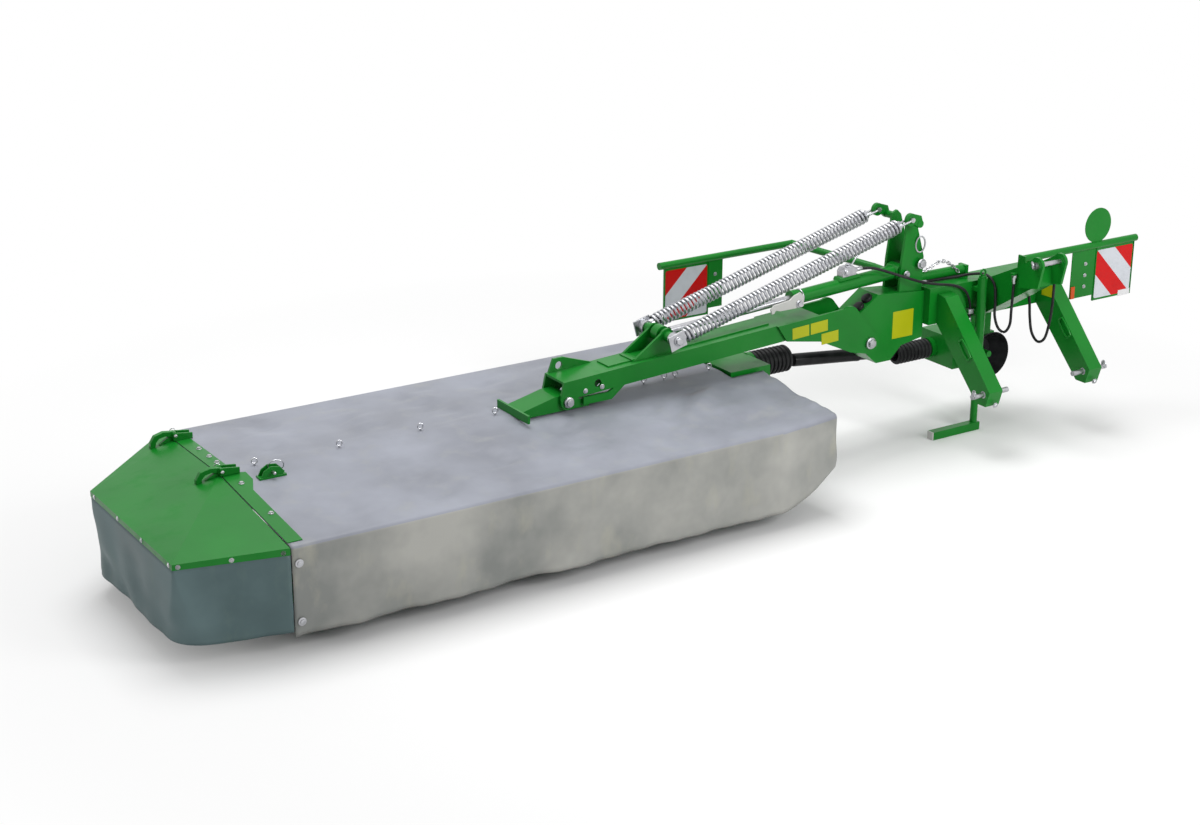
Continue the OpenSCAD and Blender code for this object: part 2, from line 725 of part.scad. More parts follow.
// Coil spring between its lower seat and its upper eye
module spring(side) {
    sides = coil_sides;
    rings = spring_turns * coil_steps;
    length = spring_len - coil_start - coil_end - 2 * wire_r;
    points = [for (i = [0 : rings], k = [0 : sides - 1]) helix_point(i / coil_steps, k, spring_turns, length, sides)];
    walls = [for (i = [0 : rings - 1], k = [0 : sides - 1])
        [i * sides + k, (i + 1) * sides + k, (i + 1) * sides + (k + 1) % sides, i * sides + (k + 1) % sides]];
    ends = [[for (k = [0 : sides - 1]) k], [for (k = [sides - 1 : -1 : 0]) rings * sides + k]];
    color(steel) translate([spring_bar[0], boom_y + side * spring_half, spring_bar[1]])
        rotate([0, 90 - spring_angle, 0]) translate([0, 0, coil_start]) polyhedron(points, concat(walls, ends));
}
module spring_front() { spring(-1); }
module spring_rear() { spring(1); }

// Screwed plugs in the upper ends of the coils, with the links that hang in the hooks
module spring_eyes() {
    plug_len = 40;
    link_r = 6;
    link_half = hook_t / 2 + link_r + 2;
    color(steel) for (s = [-1, 1])
        translate([spring_hook[0], boom_y + s * spring_half, spring_hook[1]]) rotate([0, -90 - spring_angle, 0]) {
            translate([0, 0, coil_end - 20]) cylinder(h = plug_len + 20, r = plug_r);
            for (side = [-1, 1]) translate([0, side * link_half, 0]) cylinder(h = coil_end - 10, r = link_r);
            rotate([90, 0, 0]) cylinder(h = 2 * (link_half + link_r), r = hook_hole_r - 1, center = true);
        }
}
hook_t = 20;
hook_hole_r = 14;

barrel_pin = [swing_x + 250, swing_z + 332];
barrel_angle = atan2(barrel_pin[1] - spring_bar[1], barrel_pin[0] - spring_bar[0]);
barrel_reach = norm(barrel_pin - spring_bar);
tower_half = 60;
tower_t = 16;
lift_half = tower_half - tower_t / 2 - side_gap;

// Places its children with Z along the lift cylinder, from its pin towards the boom
module along_lift() {
    translate([barrel_pin[0], boom_y, barrel_pin[1]]) rotate([0, -90 - barrel_angle, 0]) children();
}

lift_pin_r = 18;
bore_start = eye_r + 15;
rod_inner = barrel_len - 60;

module lift_barrel() {
    head = 40;
    color(green) difference() {
        union() {
            bar_y(barrel_pin[0], boom_y - lift_half, boom_y + lift_half, barrel_pin[1], eye_r);
            along_lift() translate([0, 0, eye_r * 0.7]) cylinder(h = barrel_len - eye_r * 0.7, r = barrel_r);
            along_lift() translate([0, 0, barrel_len - head]) cylinder(h = head, r = barrel_r + 5);
        }
        bar_y(barrel_pin[0], boom_y - boom_w, boom_y + boom_w, barrel_pin[1], lift_pin_r + pin_gap);
        along_lift() translate([0, 0, bore_start]) cylinder(h = barrel_len, r = rod_r + pin_gap);
    }
}

module lift_rod() {
    rod_gap = 15;
    color(steel) along_lift() translate([0, 0, rod_inner])
        cylinder(h = barrel_reach - eye_r - rod_gap - rod_inner, r = rod_r);
}

turret_half = boom_w / 2 - 10;
turret_x1 = swing_x + 385;
turret_top0 = [swing_x + 64, swing_z + 248];
turret_top1 = [turret_x1, swing_z + 221];
function turret_z(x) = turret_top0[1] + (x - turret_top0[0]) * (turret_top1[1] - turret_top0[1])
    / (turret_top1[0] - turret_top0[0]);

// Housing between the fork plates that carries the swing pin and the tower
module turret() {
    boss_r = 58;
    outline = [
        [swing_x - boss_r, swing_z], [swing_x - 76, swing_z + 150], turret_top0, turret_top1,
        [turret_x1, swing_z - 37], [swing_x + 240, swing_z - 60], [swing_x + 165, swing_z - 132],
        [swing_x + 70, swing_z - 132], [swing_x - boss_r * 0.5, swing_z - boss_r * 0.8]
    ];
    color(green) difference() {
        union() {
            plate_xz(outline, boom_y, 2 * turret_half);
            bar_y(swing_x, boom_near + seat, boom_far - seat, swing_z, boss_r - 8);
        }
        bar_y(swing_x, boom_near - 1, boom_far + 1, swing_z, swing_r + pin_gap);
    }
}

// Two plates on the turret with the spring hooks at their top and the cylinder's pin between them
module tower() {
    x0 = swing_x + 216;
    x1 = swing_x + 372;
    neck_z = swing_z + 540;
    hook_bar_r = 20;
    bar_c = [spring_hook[0] + 62, spring_hook[1] - 30];
    outline = [
        [x0, turret_z(x0) + seat], [x1, turret_z(x1) + seat], [x1 + 4, swing_z + 410],
        [bar_c[0] + 36, bar_c[1] + 10], [bar_c[0] + 10, bar_c[1] + 34], [bar_c[0] - 26, bar_c[1] + 20],
        [swing_x + 244, neck_z], [x0 + 8, swing_z + 390]
    ];
    color(green) {
        for (s = [-1, 1]) plate_xz(outline, boom_y + s * tower_half, tower_t);
        for (s = [-1, 1]) bar_y(bar_c[0], boom_y + min(s * (tower_half - tower_t / 2), s * (spring_half + 12)),
            boom_y + max(s * (tower_half - tower_t / 2), s * (spring_half + 12)), bar_c[1], hook_bar_r);
        for (s = [-1, 1]) difference() {
            union() {
                plate_xz([[bar_c[0] - 8, bar_c[1] - 20], [bar_c[0] + 20, bar_c[1]], [bar_c[0] + 4, bar_c[1] + 44],
                    [spring_hook[0], spring_hook[1] + 34], [spring_hook[0] + 10, spring_hook[1] - 16]],
                    boom_y + s * spring_half, hook_t);
                bar_y(spring_hook[0], boom_y + s * spring_half - hook_t / 2, boom_y + s * spring_half + hook_t / 2,
                    spring_hook[1], 34);
            }
            bar_y(spring_hook[0], boom_y + s * spring_half - hook_t, boom_y + s * spring_half + hook_t,
                spring_hook[1], hook_hole_r);
        }
    }
    color(steel) {
        bar_y(barrel_pin[0], boom_y - tower_half - 22, boom_y + tower_half + 22, barrel_pin[1], lift_pin_r);
        bar_y(swing_x + 347, boom_y - tower_half - 26, boom_y + tower_half + 26, swing_z + 376, 24);
    }
}

// Tube that holds the turret forward until an obstacle is hit
module overload_strut() {
    r = 27;
    z = cross_z + cross_h + r + 6;
    x0 = swing_x + 385;
    x1 = hitch_x - 130;
    color(green) {
        bar_x(x0, x1, boom_y, z, r);
        box([x1, boom_y - 30, cross_z + cross_h + seat], [x1 + 20, boom_y + 30, z + r]);
    }
}

cross_x0 = turret_x1;
cross_x1 = hitch_x + shoulder_half;
cross_y0 = -cross_d;

module cross_beam() {
    color(green) box([cross_x0, cross_y0, cross_z], [cross_x1, 0, cross_z + cross_h]);
}

top_y = -link_front;
top_z = link_z + mast_h;
neck_half = 75;
clevis_t = 16;

// Rising box with the two plates for the top link at its front end
module neck() {
    end_y = top_y + 62;
    neck_profile = [
        [cross_y0, cross_z], [cross_y0, cross_z + cross_h], [end_y + 40, top_z - 20],
        [end_y, top_z - 24], [end_y - 16, top_z - 140]
    ];
    eye = 44;
    clevis = [
        [top_y - eye, top_z], [top_y - eye * 0.4, top_z - 122], [end_y + 60, top_z - 150],
        [end_y + 60, top_z - 24], [top_y, top_z + eye]
    ];
    color(green) {
        plate_yz(neck_profile, hitch_x - neck_half, 2 * neck_half);
        for (x = [hitch_x - neck_half - clevis_t, hitch_x + neck_half]) difference() {
            union() {
                plate_yz(clevis, x, clevis_t);
                bar_x(x, x + clevis_t, top_y, top_z, eye);
            }
            bar_x(x - 1, x + clevis_t + 1, top_y, top_z, top_r + fit_gap);
        }
    }
}

// The pins are thicker inside the legs, which gives the link ball its shoulder
link_step = 5;

// Leg from the cross beam down to a lower link pin
module leg(x) {
    front = 60;
    tip = 62;
    outline = [
        [cross_y0, cross_z + 10], [cross_y0, cross_z + cross_h - 30], [cross_y0 - front, cross_z + cross_h - 40],
        [-link_front - 48, link_z + 20], [-link_front - 24, link_z - tip], [-link_front + 46, link_z - tip]
    ];
    color(green) difference() {
        plate_yz(outline, x, leg_w);
        bar_x(x - 1, x + leg_w + 1, -link_front, link_z, link_r + link_step + fit_gap);
    }
}
module leg_near() { leg(hitch_x - shoulder_half); }
module leg_far() { leg(hitch_x + shoulder_half - leg_w); }

// Lower link pins with collars, and the top link pin
module hitch_pins() {
    color(steel) {
        for (x = [hitch_x - shoulder_half, hitch_x + shoulder_half - leg_w]) {
            bar_x(x - link_free, x + leg_w + link_free, -link_front, link_z, link_r);
            bar_x(x, x + leg_w, -link_front, link_z, link_r + link_step);
        }
        bar_x(hitch_x - neck_half - clevis_t - 18, hitch_x + neck_half + clevis_t + 18, top_y, top_z, top_r);
        bar_x(hitch_x - neck_half - clevis_t - 18, hitch_x - neck_half - clevis_t - seat, top_y, top_z, top_r + 7);
    }
}

gearbox_x0 = hitch_x - 188;
gearbox_low = shaft_hitch_z - 80;
gearbox_top = shaft_hitch_z + 95;
pto_z = shaft_hitch_z;
guard_y0 = -160;
guard_len = 100;

// Angle gearbox hung under the cross beam, with the splined input stub
module hitch_gearbox() {
    stub_r = 17.5;
    stub_len = 85;
    color(green) {
        box([gearbox_x0, guard_y0 + guard_len, gearbox_low], [hitch_x + 110, shaft_y + 80, gearbox_top]);
        box([gearbox_x0 + 30, guard_y0 + guard_len, gearbox_top], [hitch_x + 80, -10, cross_z - seat]);
        bar_x(gearbox_x0 - 30, gearbox_x0, shaft_y, shaft_hitch_z, hitch_boot_r);
        bar_x(gearbox_x0 - 50, gearbox_x0 - 30, shaft_y, shaft_hitch_z, 18);
    }
    color(steel) bar_y(hitch_x, guard_y0 + guard_len - stub_len, guard_y0 + guard_len, pto_z, stub_r);
}

// Bell-shaped guard round the input stub
module pto_guard() {
    wall = 5;
    color(black) translate([hitch_x, guard_y0 + guard_len - seat, pto_z]) rotate([90, 0, 0]) difference() {
        union() {
            cylinder(h = guard_len * 0.45, r1 = guard_r * 0.62, r2 = guard_r * 0.8);
            translate([0, 0, guard_len * 0.45]) cylinder(h = guard_len * 0.55, r1 = guard_r * 0.8, r2 = guard_r);
        }
        translate([0, 0, wall])
            cylinder(h = guard_len * 0.45 - wall + 0.01, r1 = guard_r * 0.62 - wall, r2 = guard_r * 0.8 - wall);
        translate([0, 0, guard_len * 0.45])
            cylinder(h = guard_len * 0.55 + 0.01, r1 = guard_r * 0.8 - wall, r2 = guard_r - wall);
        translate([0, 0, -1]) cylinder(h = wall + 2, r = 40);
    }
}

hitch_boot_x1 = gearbox_x0 - 30 - seat;
module hitch_boot() { boot_at(hitch_boot_x1 - boot_len, shaft_hitch_z, hitch_boot_r); }

shaft_a = [boot_x0 + 70, shaft_y, shaft_mower_z];
shaft_b = [gearbox_x0 - 70, shaft_y, shaft_hitch_z];
cross_r = 13;
cross_half = 24;
module joint_cross(p) { color(steel) bar_y(p[0], shaft_y - cross_half, shaft_y + cross_half, p[2], cross_r); }

// Cross of the joint at the hitch, about which the shaft swings
module hitch_cross() { joint_cross(shaft_b); }

// Telescopic shaft in its guard tube, between the two stubs
module drive_shaft() {
    d = shaft_b - shaft_a;
    l = norm(d);
    neck = boot_len - 22;
    color(black) translate(shaft_a) rotate([0, acos(d[2] / l), 0]) {
        cylinder(h = l - cross_r - 1.5, r = cross_r);
        translate([0, 0, neck]) cylinder(h = l - 2 * neck, r = shaft_r);
    }
    joint_cross(shaft_a);
}

stand_x = hitch_x - 138;
stand_y = cross_y0 - 50;
sleeve_z0 = link_z + 88;
sleeve_z1 = cross_z + cross_h + 25;
module stand_sleeve() {
    color(green) difference() {
        union() {
            translate([stand_x, stand_y, sleeve_z0]) cylinder(h = sleeve_z1 - sleeve_z0, r = sleeve_r);
            for (z = [cross_z + 20, cross_z + cross_h - 50])
                box([stand_x - sleeve_r, stand_y, z], [stand_x + sleeve_r, cross_y0, z + 24]);
        }
        translate([stand_x, stand_y, sleeve_z0 - 1]) cylinder(h = sleeve_z1 - sleeve_z0 + 2, r = stand_r + pin_gap);
    }
}

// Leg that slides in the sleeve, with its foot and the ring that lifts it
module stand_leg() {
    ring_r = 17;
    color(green) translate([stand_x, stand_y, 0]) {
        box([-foot_reach, -foot_s / 2, 0], [28, foot_s / 2, foot_s]);
        cylinder(h = sleeve_z1 + 14, r = stand_r);
    }
    color(steel) translate([stand_x, stand_y, sleeve_z1 + 14 + ring_r]) rotate([90, 0, 0])
        rotate_extrude() translate([ring_r, 0]) circle(r = 5);
}

board_t = 4;
tube_left_z = ridge_z + 333;
board_left_x = pivot_x + 1185;
arm_gap = 6;

// Bent tube from the tower round behind the mower to the left board
module board_arm_left() {
    root = [swing_x + 320, boom_y + tower_half + tower_t / 2 + seat, swing_z + 282];
    path = [
        root, [root[0], 240, root[2]], [root[0] - 130, board_left_back, tube_left_z],
        [board_left_x - 34, board_left_back, tube_left_z]
    ];
    color(green) bent_tube(path, arm_r);
}

// A square board under its tube, with the folded plate that bolts it on
module board(x, y, tube_z, plate_x, plate_w) {
    top = tube_z - arm_r - seat;
    lip = 12;
    box([x, y - board_t / 2, top - arm_gap - board_s], [x + board_s, y + board_t / 2, top]);
    box([plate_x, y - board_t / 2, top - board_s * 0.9], [plate_x + plate_w, y + board_t / 2, top]);
    for (edge = [x, x + board_s - 3])
        box([edge, y - lip / 2, top - arm_gap - board_s], [edge + 3, y + lip / 2, top]);
}
module board_left() {
    color("red") board(board_left_x, board_left_back, tube_left_z, board_left_x + board_s, 96);
}

tube_right_z = link_z + 601;
board_right_x = hitch_x + 640;
board_right_y = -board_right_front;
module board_arm_right() {
    root_x = hitch_x + neck_half + seat;
    gusset_t = 10;
    lamp_r = 98;
    color(green) {
        plate_yz([[board_right_y - 40, cross_z + 140], [board_right_y + 30, cross_z + 140],
            [board_right_y + 26, tube_right_z + arm_r], [board_right_y - 26, tube_right_z + arm_r]], root_x, gusset_t);
        bar_x(root_x + gusset_t, board_right_x + board_s + 12, board_right_y, tube_right_z, arm_r);
        bar_y(board_right_x, board_right_y - 2, board_right_y + 2, tube_right_z + arm_r + lamp_r - 6, lamp_r);
    }
}
module board_right() {
    color("red") board(board_right_x, board_right_y, tube_right_z, board_right_x - 180, 180);
}

cutter_bar();
skids();
disc_1();
disc_2();
disc_3();
disc_4();
disc_5();
disc_6();
disc_7();
carrier_beam();
bar_brackets();
cover_frame();
cover_top();
front_curtain();
rear_curtain();
inner_curtain();
end_strip();
end_cover();
end_curtain();
mower_foot();
mower_gearbox();
mower_boot();
boom();
boom_fork();
mower_pin();
swing_pin();
spring_bracket();
spring_seats();
spring_front();
spring_rear();
spring_eyes();
lift_barrel();
lift_rod();
turret();
tower();
overload_strut();
cross_beam();
neck();
leg_near();
leg_far();
hitch_pins();
hitch_gearbox();
pto_guard();
hitch_boot();
hitch_cross();
drive_shaft();
stand_sleeve();
stand_leg();
board_arm_left();
board_left();
board_arm_right();
board_right();
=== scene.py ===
# %% [markdown]
# # A rear-mounted disc mower
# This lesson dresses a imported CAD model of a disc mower. The CAD model holds every rigid piece in its
# place, in metres, with +X towards the tractor hitch and -Y in the direction of travel. Blender adds what
# a solid modeller is poor at: coated cloth, coil springs, hoses, paint and small hardware.

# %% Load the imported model
import json
import math

import bmesh
import bpy
import numpy as np
from mathutils import Matrix, Vector


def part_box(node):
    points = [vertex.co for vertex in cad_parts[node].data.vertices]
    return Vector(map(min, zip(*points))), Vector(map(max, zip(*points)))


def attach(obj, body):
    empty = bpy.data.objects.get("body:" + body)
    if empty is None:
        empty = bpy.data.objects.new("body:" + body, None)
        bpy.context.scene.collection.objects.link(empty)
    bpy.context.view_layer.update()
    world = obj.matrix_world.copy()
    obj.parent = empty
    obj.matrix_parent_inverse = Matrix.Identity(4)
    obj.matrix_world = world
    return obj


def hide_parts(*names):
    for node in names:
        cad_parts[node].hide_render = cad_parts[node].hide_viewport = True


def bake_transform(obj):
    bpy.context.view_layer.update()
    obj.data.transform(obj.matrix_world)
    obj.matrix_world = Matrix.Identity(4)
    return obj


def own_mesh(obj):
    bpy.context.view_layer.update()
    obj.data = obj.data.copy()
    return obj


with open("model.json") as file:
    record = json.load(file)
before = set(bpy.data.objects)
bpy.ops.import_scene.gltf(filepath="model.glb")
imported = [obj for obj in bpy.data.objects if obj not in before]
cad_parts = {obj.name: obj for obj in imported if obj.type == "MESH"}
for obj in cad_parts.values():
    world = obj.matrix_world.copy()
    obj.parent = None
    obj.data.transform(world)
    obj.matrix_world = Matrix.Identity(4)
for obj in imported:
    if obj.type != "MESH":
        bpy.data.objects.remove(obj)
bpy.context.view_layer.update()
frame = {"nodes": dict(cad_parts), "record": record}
nodes = frame["nodes"]


def size_of(node):
    """Low and high corner of a CAD node as numpy arrays."""
    low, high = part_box(node)
    return np.array(low), np.array(high)


joint_places = {
    joint["name"]: np.array(joint["pos_m"])
    for joint in frame["record"]["behaviour"]["joints"]
    if "pos_m" in joint
}
print("hinges:", sorted(joint_places))


# %% [markdown]
# ## The camera
# The photograph was measured: the vanishing directions of the cover and of the hitch give the viewing
# angle, and a known hitch width gives the distance. A camera built from these numbers lays each CAD edge
# on its edge in the photograph.

# %% Camera at the photograph's viewing angle
CAMERA_PLACE = Vector((-4.435, -7.957, 3.886))
CAMERA_FORWARD = Vector((0.5116, 0.7900, -0.3378))
CAMERA_ROLL = math.radians(0.148)
SENSOR_WIDTH = 36.0
FOCAL_LENGTH = 61.14

camera_data = bpy.data.cameras.new("photo_camera")
camera_data.sensor_width = SENSOR_WIDTH
camera_data.lens = FOCAL_LENGTH
camera = bpy.data.objects.new("photo_camera", camera_data)
bpy.context.collection.objects.link(camera)
turn = CAMERA_FORWARD.to_track_quat("-Z", "Y").to_matrix() @ Matrix.Rotation(CAMERA_ROLL, 3, "Z")
camera.matrix_world = Matrix.Translation(CAMERA_PLACE) @ turn.to_4x4()
bpy.context.scene.camera = camera
print("camera at", tuple(camera.location))

# %% [markdown]
# ## Shader arithmetic
# A material is a graph of nodes, which is tiresome to wire by hand. A small class wraps a socket so that
# `1 - mask` adds a Math node, and one method makes any other node from its type, settings and inputs.


# %% Sockets that calculate
class Value:
    """An output socket that takes part in arithmetic."""

    def __init__(self, finish, socket):
        self.finish = finish
        self.socket = socket

    def _maths(self, operation, first, second):
        return self.finish.node("ShaderNodeMath", {"operation": operation}, {0: first, 1: second})

    def __add__(self, other):
        return self._maths("ADD", self, other)

    def __radd__(self, other):
        return self._maths("ADD", other, self)

    def __sub__(self, other):
        return self._maths("SUBTRACT", self, other)

    def __rsub__(self, other):
        return self._maths("SUBTRACT", other, self)

    def __mul__(self, other):
        return self._maths("MULTIPLY", self, other)

    def __rmul__(self, other):
        return self._maths("MULTIPLY", other, self)


# Share of the usual mirror reflection of paint and plastic at a right angle
SPECULAR = 0.18


class Finish:
    """A material with one Principled shader, and short ways to feed it."""

    def __init__(self, name, **plain):
        self.name = name
        self.material = bpy.data.materials.new(name)
        self.material.use_nodes = True
        self.tree = self.material.node_tree
        self.shader = self.tree.nodes["Principled BSDF"]
        for socket, value in plain.items():
            self.shader.inputs[socket.replace("_", " ").title()].default_value = value
        self.shader.inputs["Specular IOR Level"].default_value = SPECULAR

    def feed(self, socket, value):
        """Links a Value to a socket, or writes a plain number or colour on it."""
        if isinstance(value, Value):
            self.tree.links.new(value.socket, socket)
        else:
            socket.default_value = value

    def node(self, kind, settings=None, inputs=None, output=0):
        """One node: its type, its settings, then the values or links of its sockets."""
        made = self.tree.nodes.new(kind)
        for key, value in (settings or {}).items():
            setattr(made, key, value)
        for key, value in (inputs or {}).items():
            self.feed(made.inputs[key], value)
        return Value(self, made.outputs[output])

    def place(self):
        """Object coordinates, which stay on the piece in every pose."""
        return self.node("ShaderNodeTexCoord", output="Object")

    def noise(self, scale, detail=3.0, rough=0.5, stretch=None):
        """Cloudy noise from 0 to 1 over the piece, stretched along the axes if asked."""
        where = self.place()
        if stretch:
            where = self.node("ShaderNodeMapping", None, {"Vector": where, "Scale": stretch})
        inputs = {"Vector": where, "Scale": scale, "Detail": detail, "Roughness": rough}
        return self.node("ShaderNodeTexNoise", None, inputs)

    def span(self, value, low, high, out_low=0.0, out_high=1.0):
        """Maps low..high of a value to out_low..out_high, held at both ends."""
        inputs = {0: value, 1: low, 2: high, 3: out_low, 4: out_high}
        return self.node("ShaderNodeMapRange", {"clamp": True}, inputs)

    def blend(self, factor, first, second):
        """Mixes two colours."""
        inputs = {"Factor": factor, 6: first, 7: second}
        return self.node("ShaderNodeMix", {"data_type": "RGBA"}, inputs, output=2)

    def bump(self, height, strength, distance):
        """Turns a height into a normal for the shader."""
        inputs = {"Height": height, "Strength": strength, "Distance": distance}
        return self.node("ShaderNodeBump", None, inputs)

    def set(self, **sockets):
        """Feeds the shader's sockets, named with underscores."""
        for socket, value in sockets.items():
            self.feed(self.shader.inputs[socket.replace("_", " ").title()], value)
        return self


# %% [markdown]
# ## Finishes
# The machine has few finishes: glossy green paint on nearly all steel, grey coated cloth, zinc-plated
# springs and pins, black rubber and plastic, and dark worn steel under the cover. Each one varies a little
# in colour and gloss, because perfectly even surfaces look like plastic.


# %% Green paint, zinc, rubber, plastic and worn steel
def rgb(red, green, blue):
    return (red, green, blue, 1.0)


def make_paint(name, colour, shade):
    """Glossy paint: a soft drift in tone, orange-peel ripple, and dust that dulls the gloss in patches."""
    finish = Finish(name, coat_roughness=0.12)
    drift = finish.noise(3.0, 4.0)
    dust = finish.span(finish.noise(9.0, 6.0, 0.6), 0.5, 0.75)
    tone = finish.blend(finish.span(drift, 0.35, 0.7), rgb(*shade), rgb(*colour))
    ripple = finish.noise(260.0, 2.0)
    return finish.set(
        base_color=tone,
        roughness=0.32 + dust * 0.14,
        coat_weight=0.10 - dust * 0.08,
        normal=finish.bump(ripple, 0.06, 0.002),
    )


green_paint = make_paint("green_paint", (0.004, 0.180, 0.014), (0.003, 0.150, 0.012))


def make_zinc():
    """Zinc plating: bright metal with cloudy spangle and fine drawn lines."""
    finish = Finish("zinc_steel", metallic=1.0)
    cloud = finish.noise(22.0, 5.0, 0.6)
    tone = finish.blend(finish.span(cloud, 0.3, 0.7), rgb(0.33, 0.34, 0.36), rgb(0.54, 0.54, 0.56))
    fine = finish.noise(400.0, 2.0)
    return finish.set(
        base_color=tone,
        roughness=0.24 + cloud * 0.2,
        normal=finish.bump(fine, 0.08, 0.001),
    )


zinc_steel = make_zinc()


def make_black(name, tone, rough, grain, grain_depth):
    """Black rubber or plastic: a grey bloom in patches and a fine grain."""
    finish = Finish(name)
    bloom = finish.span(finish.noise(14.0, 5.0, 0.6), 0.4, 0.75)
    lighter = tuple(2.2 * c + 0.006 for c in tone)
    grain_height = finish.noise(grain, 3.0)
    return finish.set(
        base_color=finish.blend(bloom, rgb(*tone), rgb(*lighter)),
        roughness=rough + bloom * 0.15,
        normal=finish.bump(grain_height, grain_depth, 0.001),
    )


black_rubber = make_black("black_rubber", (0.010, 0.010, 0.011), 0.42, 300.0, 0.15)
black_plastic = make_black("black_plastic", (0.008, 0.008, 0.009), 0.28, 420.0, 0.06)


def make_worn_steel():
    """Dark rolled steel with brown traces and scuffs."""
    finish = Finish("worn_steel", metallic=0.8)
    scuff = finish.span(finish.noise(18.0, 6.0, 0.65), 0.4, 0.7)
    tone = finish.blend(scuff, rgb(0.06, 0.055, 0.05), rgb(0.22, 0.22, 0.23))
    return finish.set(
        base_color=tone,
        roughness=0.55 - scuff * 0.2,
        normal=finish.bump(scuff, 0.15, 0.002),
    )


worn_steel = make_worn_steel()

SLOT_FINISH = {
    "green_paint": green_paint,
    "zinc_steel": zinc_steel,
    "dark_steel": worn_steel,
    "black_rubber": black_rubber,
    "black_plastic": black_plastic,
    "warning_board": green_paint,
}
for entry in frame["record"]["subparts"]:
    finish = SLOT_FINISH.get(entry["material_slot"])
    if finish:
        node_mesh = nodes[entry["node"]].data
        node_mesh.materials.clear()
        node_mesh.materials.append(finish.material)
print("finishes given to", len(nodes), "nodes")

# %% [markdown]
# ## Surfaces from arrays
# Every added piece is a grid of points worked out with numpy: a profile turned about an axis, a round
# section carried along a path, or a flat outline given a thickness. Modelling by hand would be quicker for
# one bolt, but a formula gives a hundred of them and stays easy to change.


# %% Points and faces
def grid_faces(rows, columns, wrap_rows=False, wrap_columns=False):
    """Quads between neighbours of a rows x columns grid; a wrapped direction closes on itself."""
    down = np.arange(rows if wrap_rows else rows - 1)
    along = np.arange(columns if wrap_columns else columns - 1)
    i, j = np.meshgrid(down, along, indexing="ij")
    i_next = (i + 1) % rows
    j_next = (j + 1) % columns
    corners = [i * columns + j, i * columns + j_next, i_next * columns + j_next, i_next * columns + j]
    return np.stack(corners, axis=-1).reshape(-1, 4).tolist()


def unit(vectors):
    """Vectors divided by their lengths."""
    vectors = np.asarray(vectors, float)
    return vectors / np.linalg.norm(vectors, axis=-1, keepdims=True)


def circle(count):
    """Cosines and sines of evenly spaced angles."""
    angle = np.linspace(0, 2 * np.pi, count, endpoint=False)
    return np.cos(angle)[:, None], np.sin(angle)[:, None]


def turned(profile, centre, axis, sides=24):
    """(radius, height) pairs turned about an axis: centre + height * axis + radius * (cos a, sin a)."""
    profile = np.asarray(profile, float)
    axis = unit(axis)
    first = unit(np.cross(axis, np.eye(3)[np.argmin(np.abs(axis))]))
    second = np.cross(axis, first)
    cosines, sines = circle(sides)
    ring = cosines * first + sines * second
    points = np.asarray(centre) + profile[:, 1, None, None] * axis + profile[:, 0, None, None] * ring
    last = (len(profile) - 1) * sides
    caps = [list(range(sides)), list(range(last, last + sides))]
    return points.reshape(-1, 3), grid_faces(len(profile), sides, wrap_columns=True) + caps


def piped(path, radius, sides=12, closed=False, helper=None):
    """A circle carried along a path: point = path + radius * (cos a * n + sin a * b), square to the path."""
    path = np.asarray(path, float)
    if closed:
        tangent = unit(np.roll(path, -1, axis=0) - np.roll(path, 1, axis=0))
    else:
        tangent = unit(np.gradient(path, axis=0))
    if helper is None:
        helper = np.eye(3)[np.argmin(np.abs(tangent).max(axis=0))]
    first = unit(np.cross(tangent, helper))
    second = np.cross(tangent, first)
    cosines, sines = circle(sides)
    radius = np.broadcast_to(radius, len(path))[:, None, None]
    points = path[:, None] + radius * (cosines * first[:, None] + sines * second[:, None])
    faces = grid_faces(len(path), sides, wrap_rows=closed, wrap_columns=True)
    if not closed:
        last = (len(path) - 1) * sides
        faces += [list(range(sides)), list(range(last, last + sides))]
    return points.reshape(-1, 3), faces


def plated(outline, origin, across, up, thickness):
    """A flat outline of (a, b) pairs at origin + a * across + b * up, made thick on both sides."""
    outline = np.asarray(outline, float)
    across = np.asarray(across, float)
    up = np.asarray(up, float)
    flat = np.asarray(origin) + outline[:, :1] * across + outline[:, 1:] * up
    shift = np.cross(across, up) * thickness / 2
    count = len(outline)
    faces = [list(range(count)), list(range(count, 2 * count))]
    return np.concatenate([flat - shift, flat + shift]), faces + grid_faces(2, count, wrap_columns=True)


def side_plate(outline, origin, thickness):
    """A thick outline of (x, z) pairs that stands across the Y axis."""
    return plated(outline, origin, (1, 0, 0), (0, 0, 1), thickness)


def rectangle(width, height):
    """Corners of a rectangle about the origin: (+-width / 2, +-height / 2)."""
    return np.array([(-1, -1), (1, -1), (1, 1), (-1, 1)]) * (width / 2, height / 2)


def boxed(low, high):
    """A box between two corners."""
    low = np.asarray(low, float)
    size = np.asarray(high, float) - low
    outline = [(0, 0), (size[0], 0), (size[0], size[2]), (0, size[2])]
    return side_plate(outline, low + (0, size[1] / 2, 0), size[1])


def smooth_path(points, count):
    """Evenly spaced points on a Catmull-Rom curve through the given ones."""
    points = np.asarray(points, float)
    padded = np.concatenate([[2 * points[0] - points[1]], points, [2 * points[-1] - points[-2]]])
    t = np.linspace(0, len(points) - 1, 40 * len(points))
    i = np.minimum(t.astype(int), len(points) - 2)
    f = (t - i)[:, None]
    a, b, c, d = (padded[i + k] for k in range(4))
    curve = 0.5 * (2 * b + (c - a) * f + (2 * a - 5 * b + 4 * c - d) * f**2 + (3 * b - a - 3 * c + d) * f**3)
    run = np.concatenate([[0], np.cumsum(np.linalg.norm(np.diff(curve, axis=0), axis=1))])
    even = np.linspace(0, run[-1], count)
    return np.stack([np.interp(even, run, curve[:, k]) for k in range(3)], axis=1)


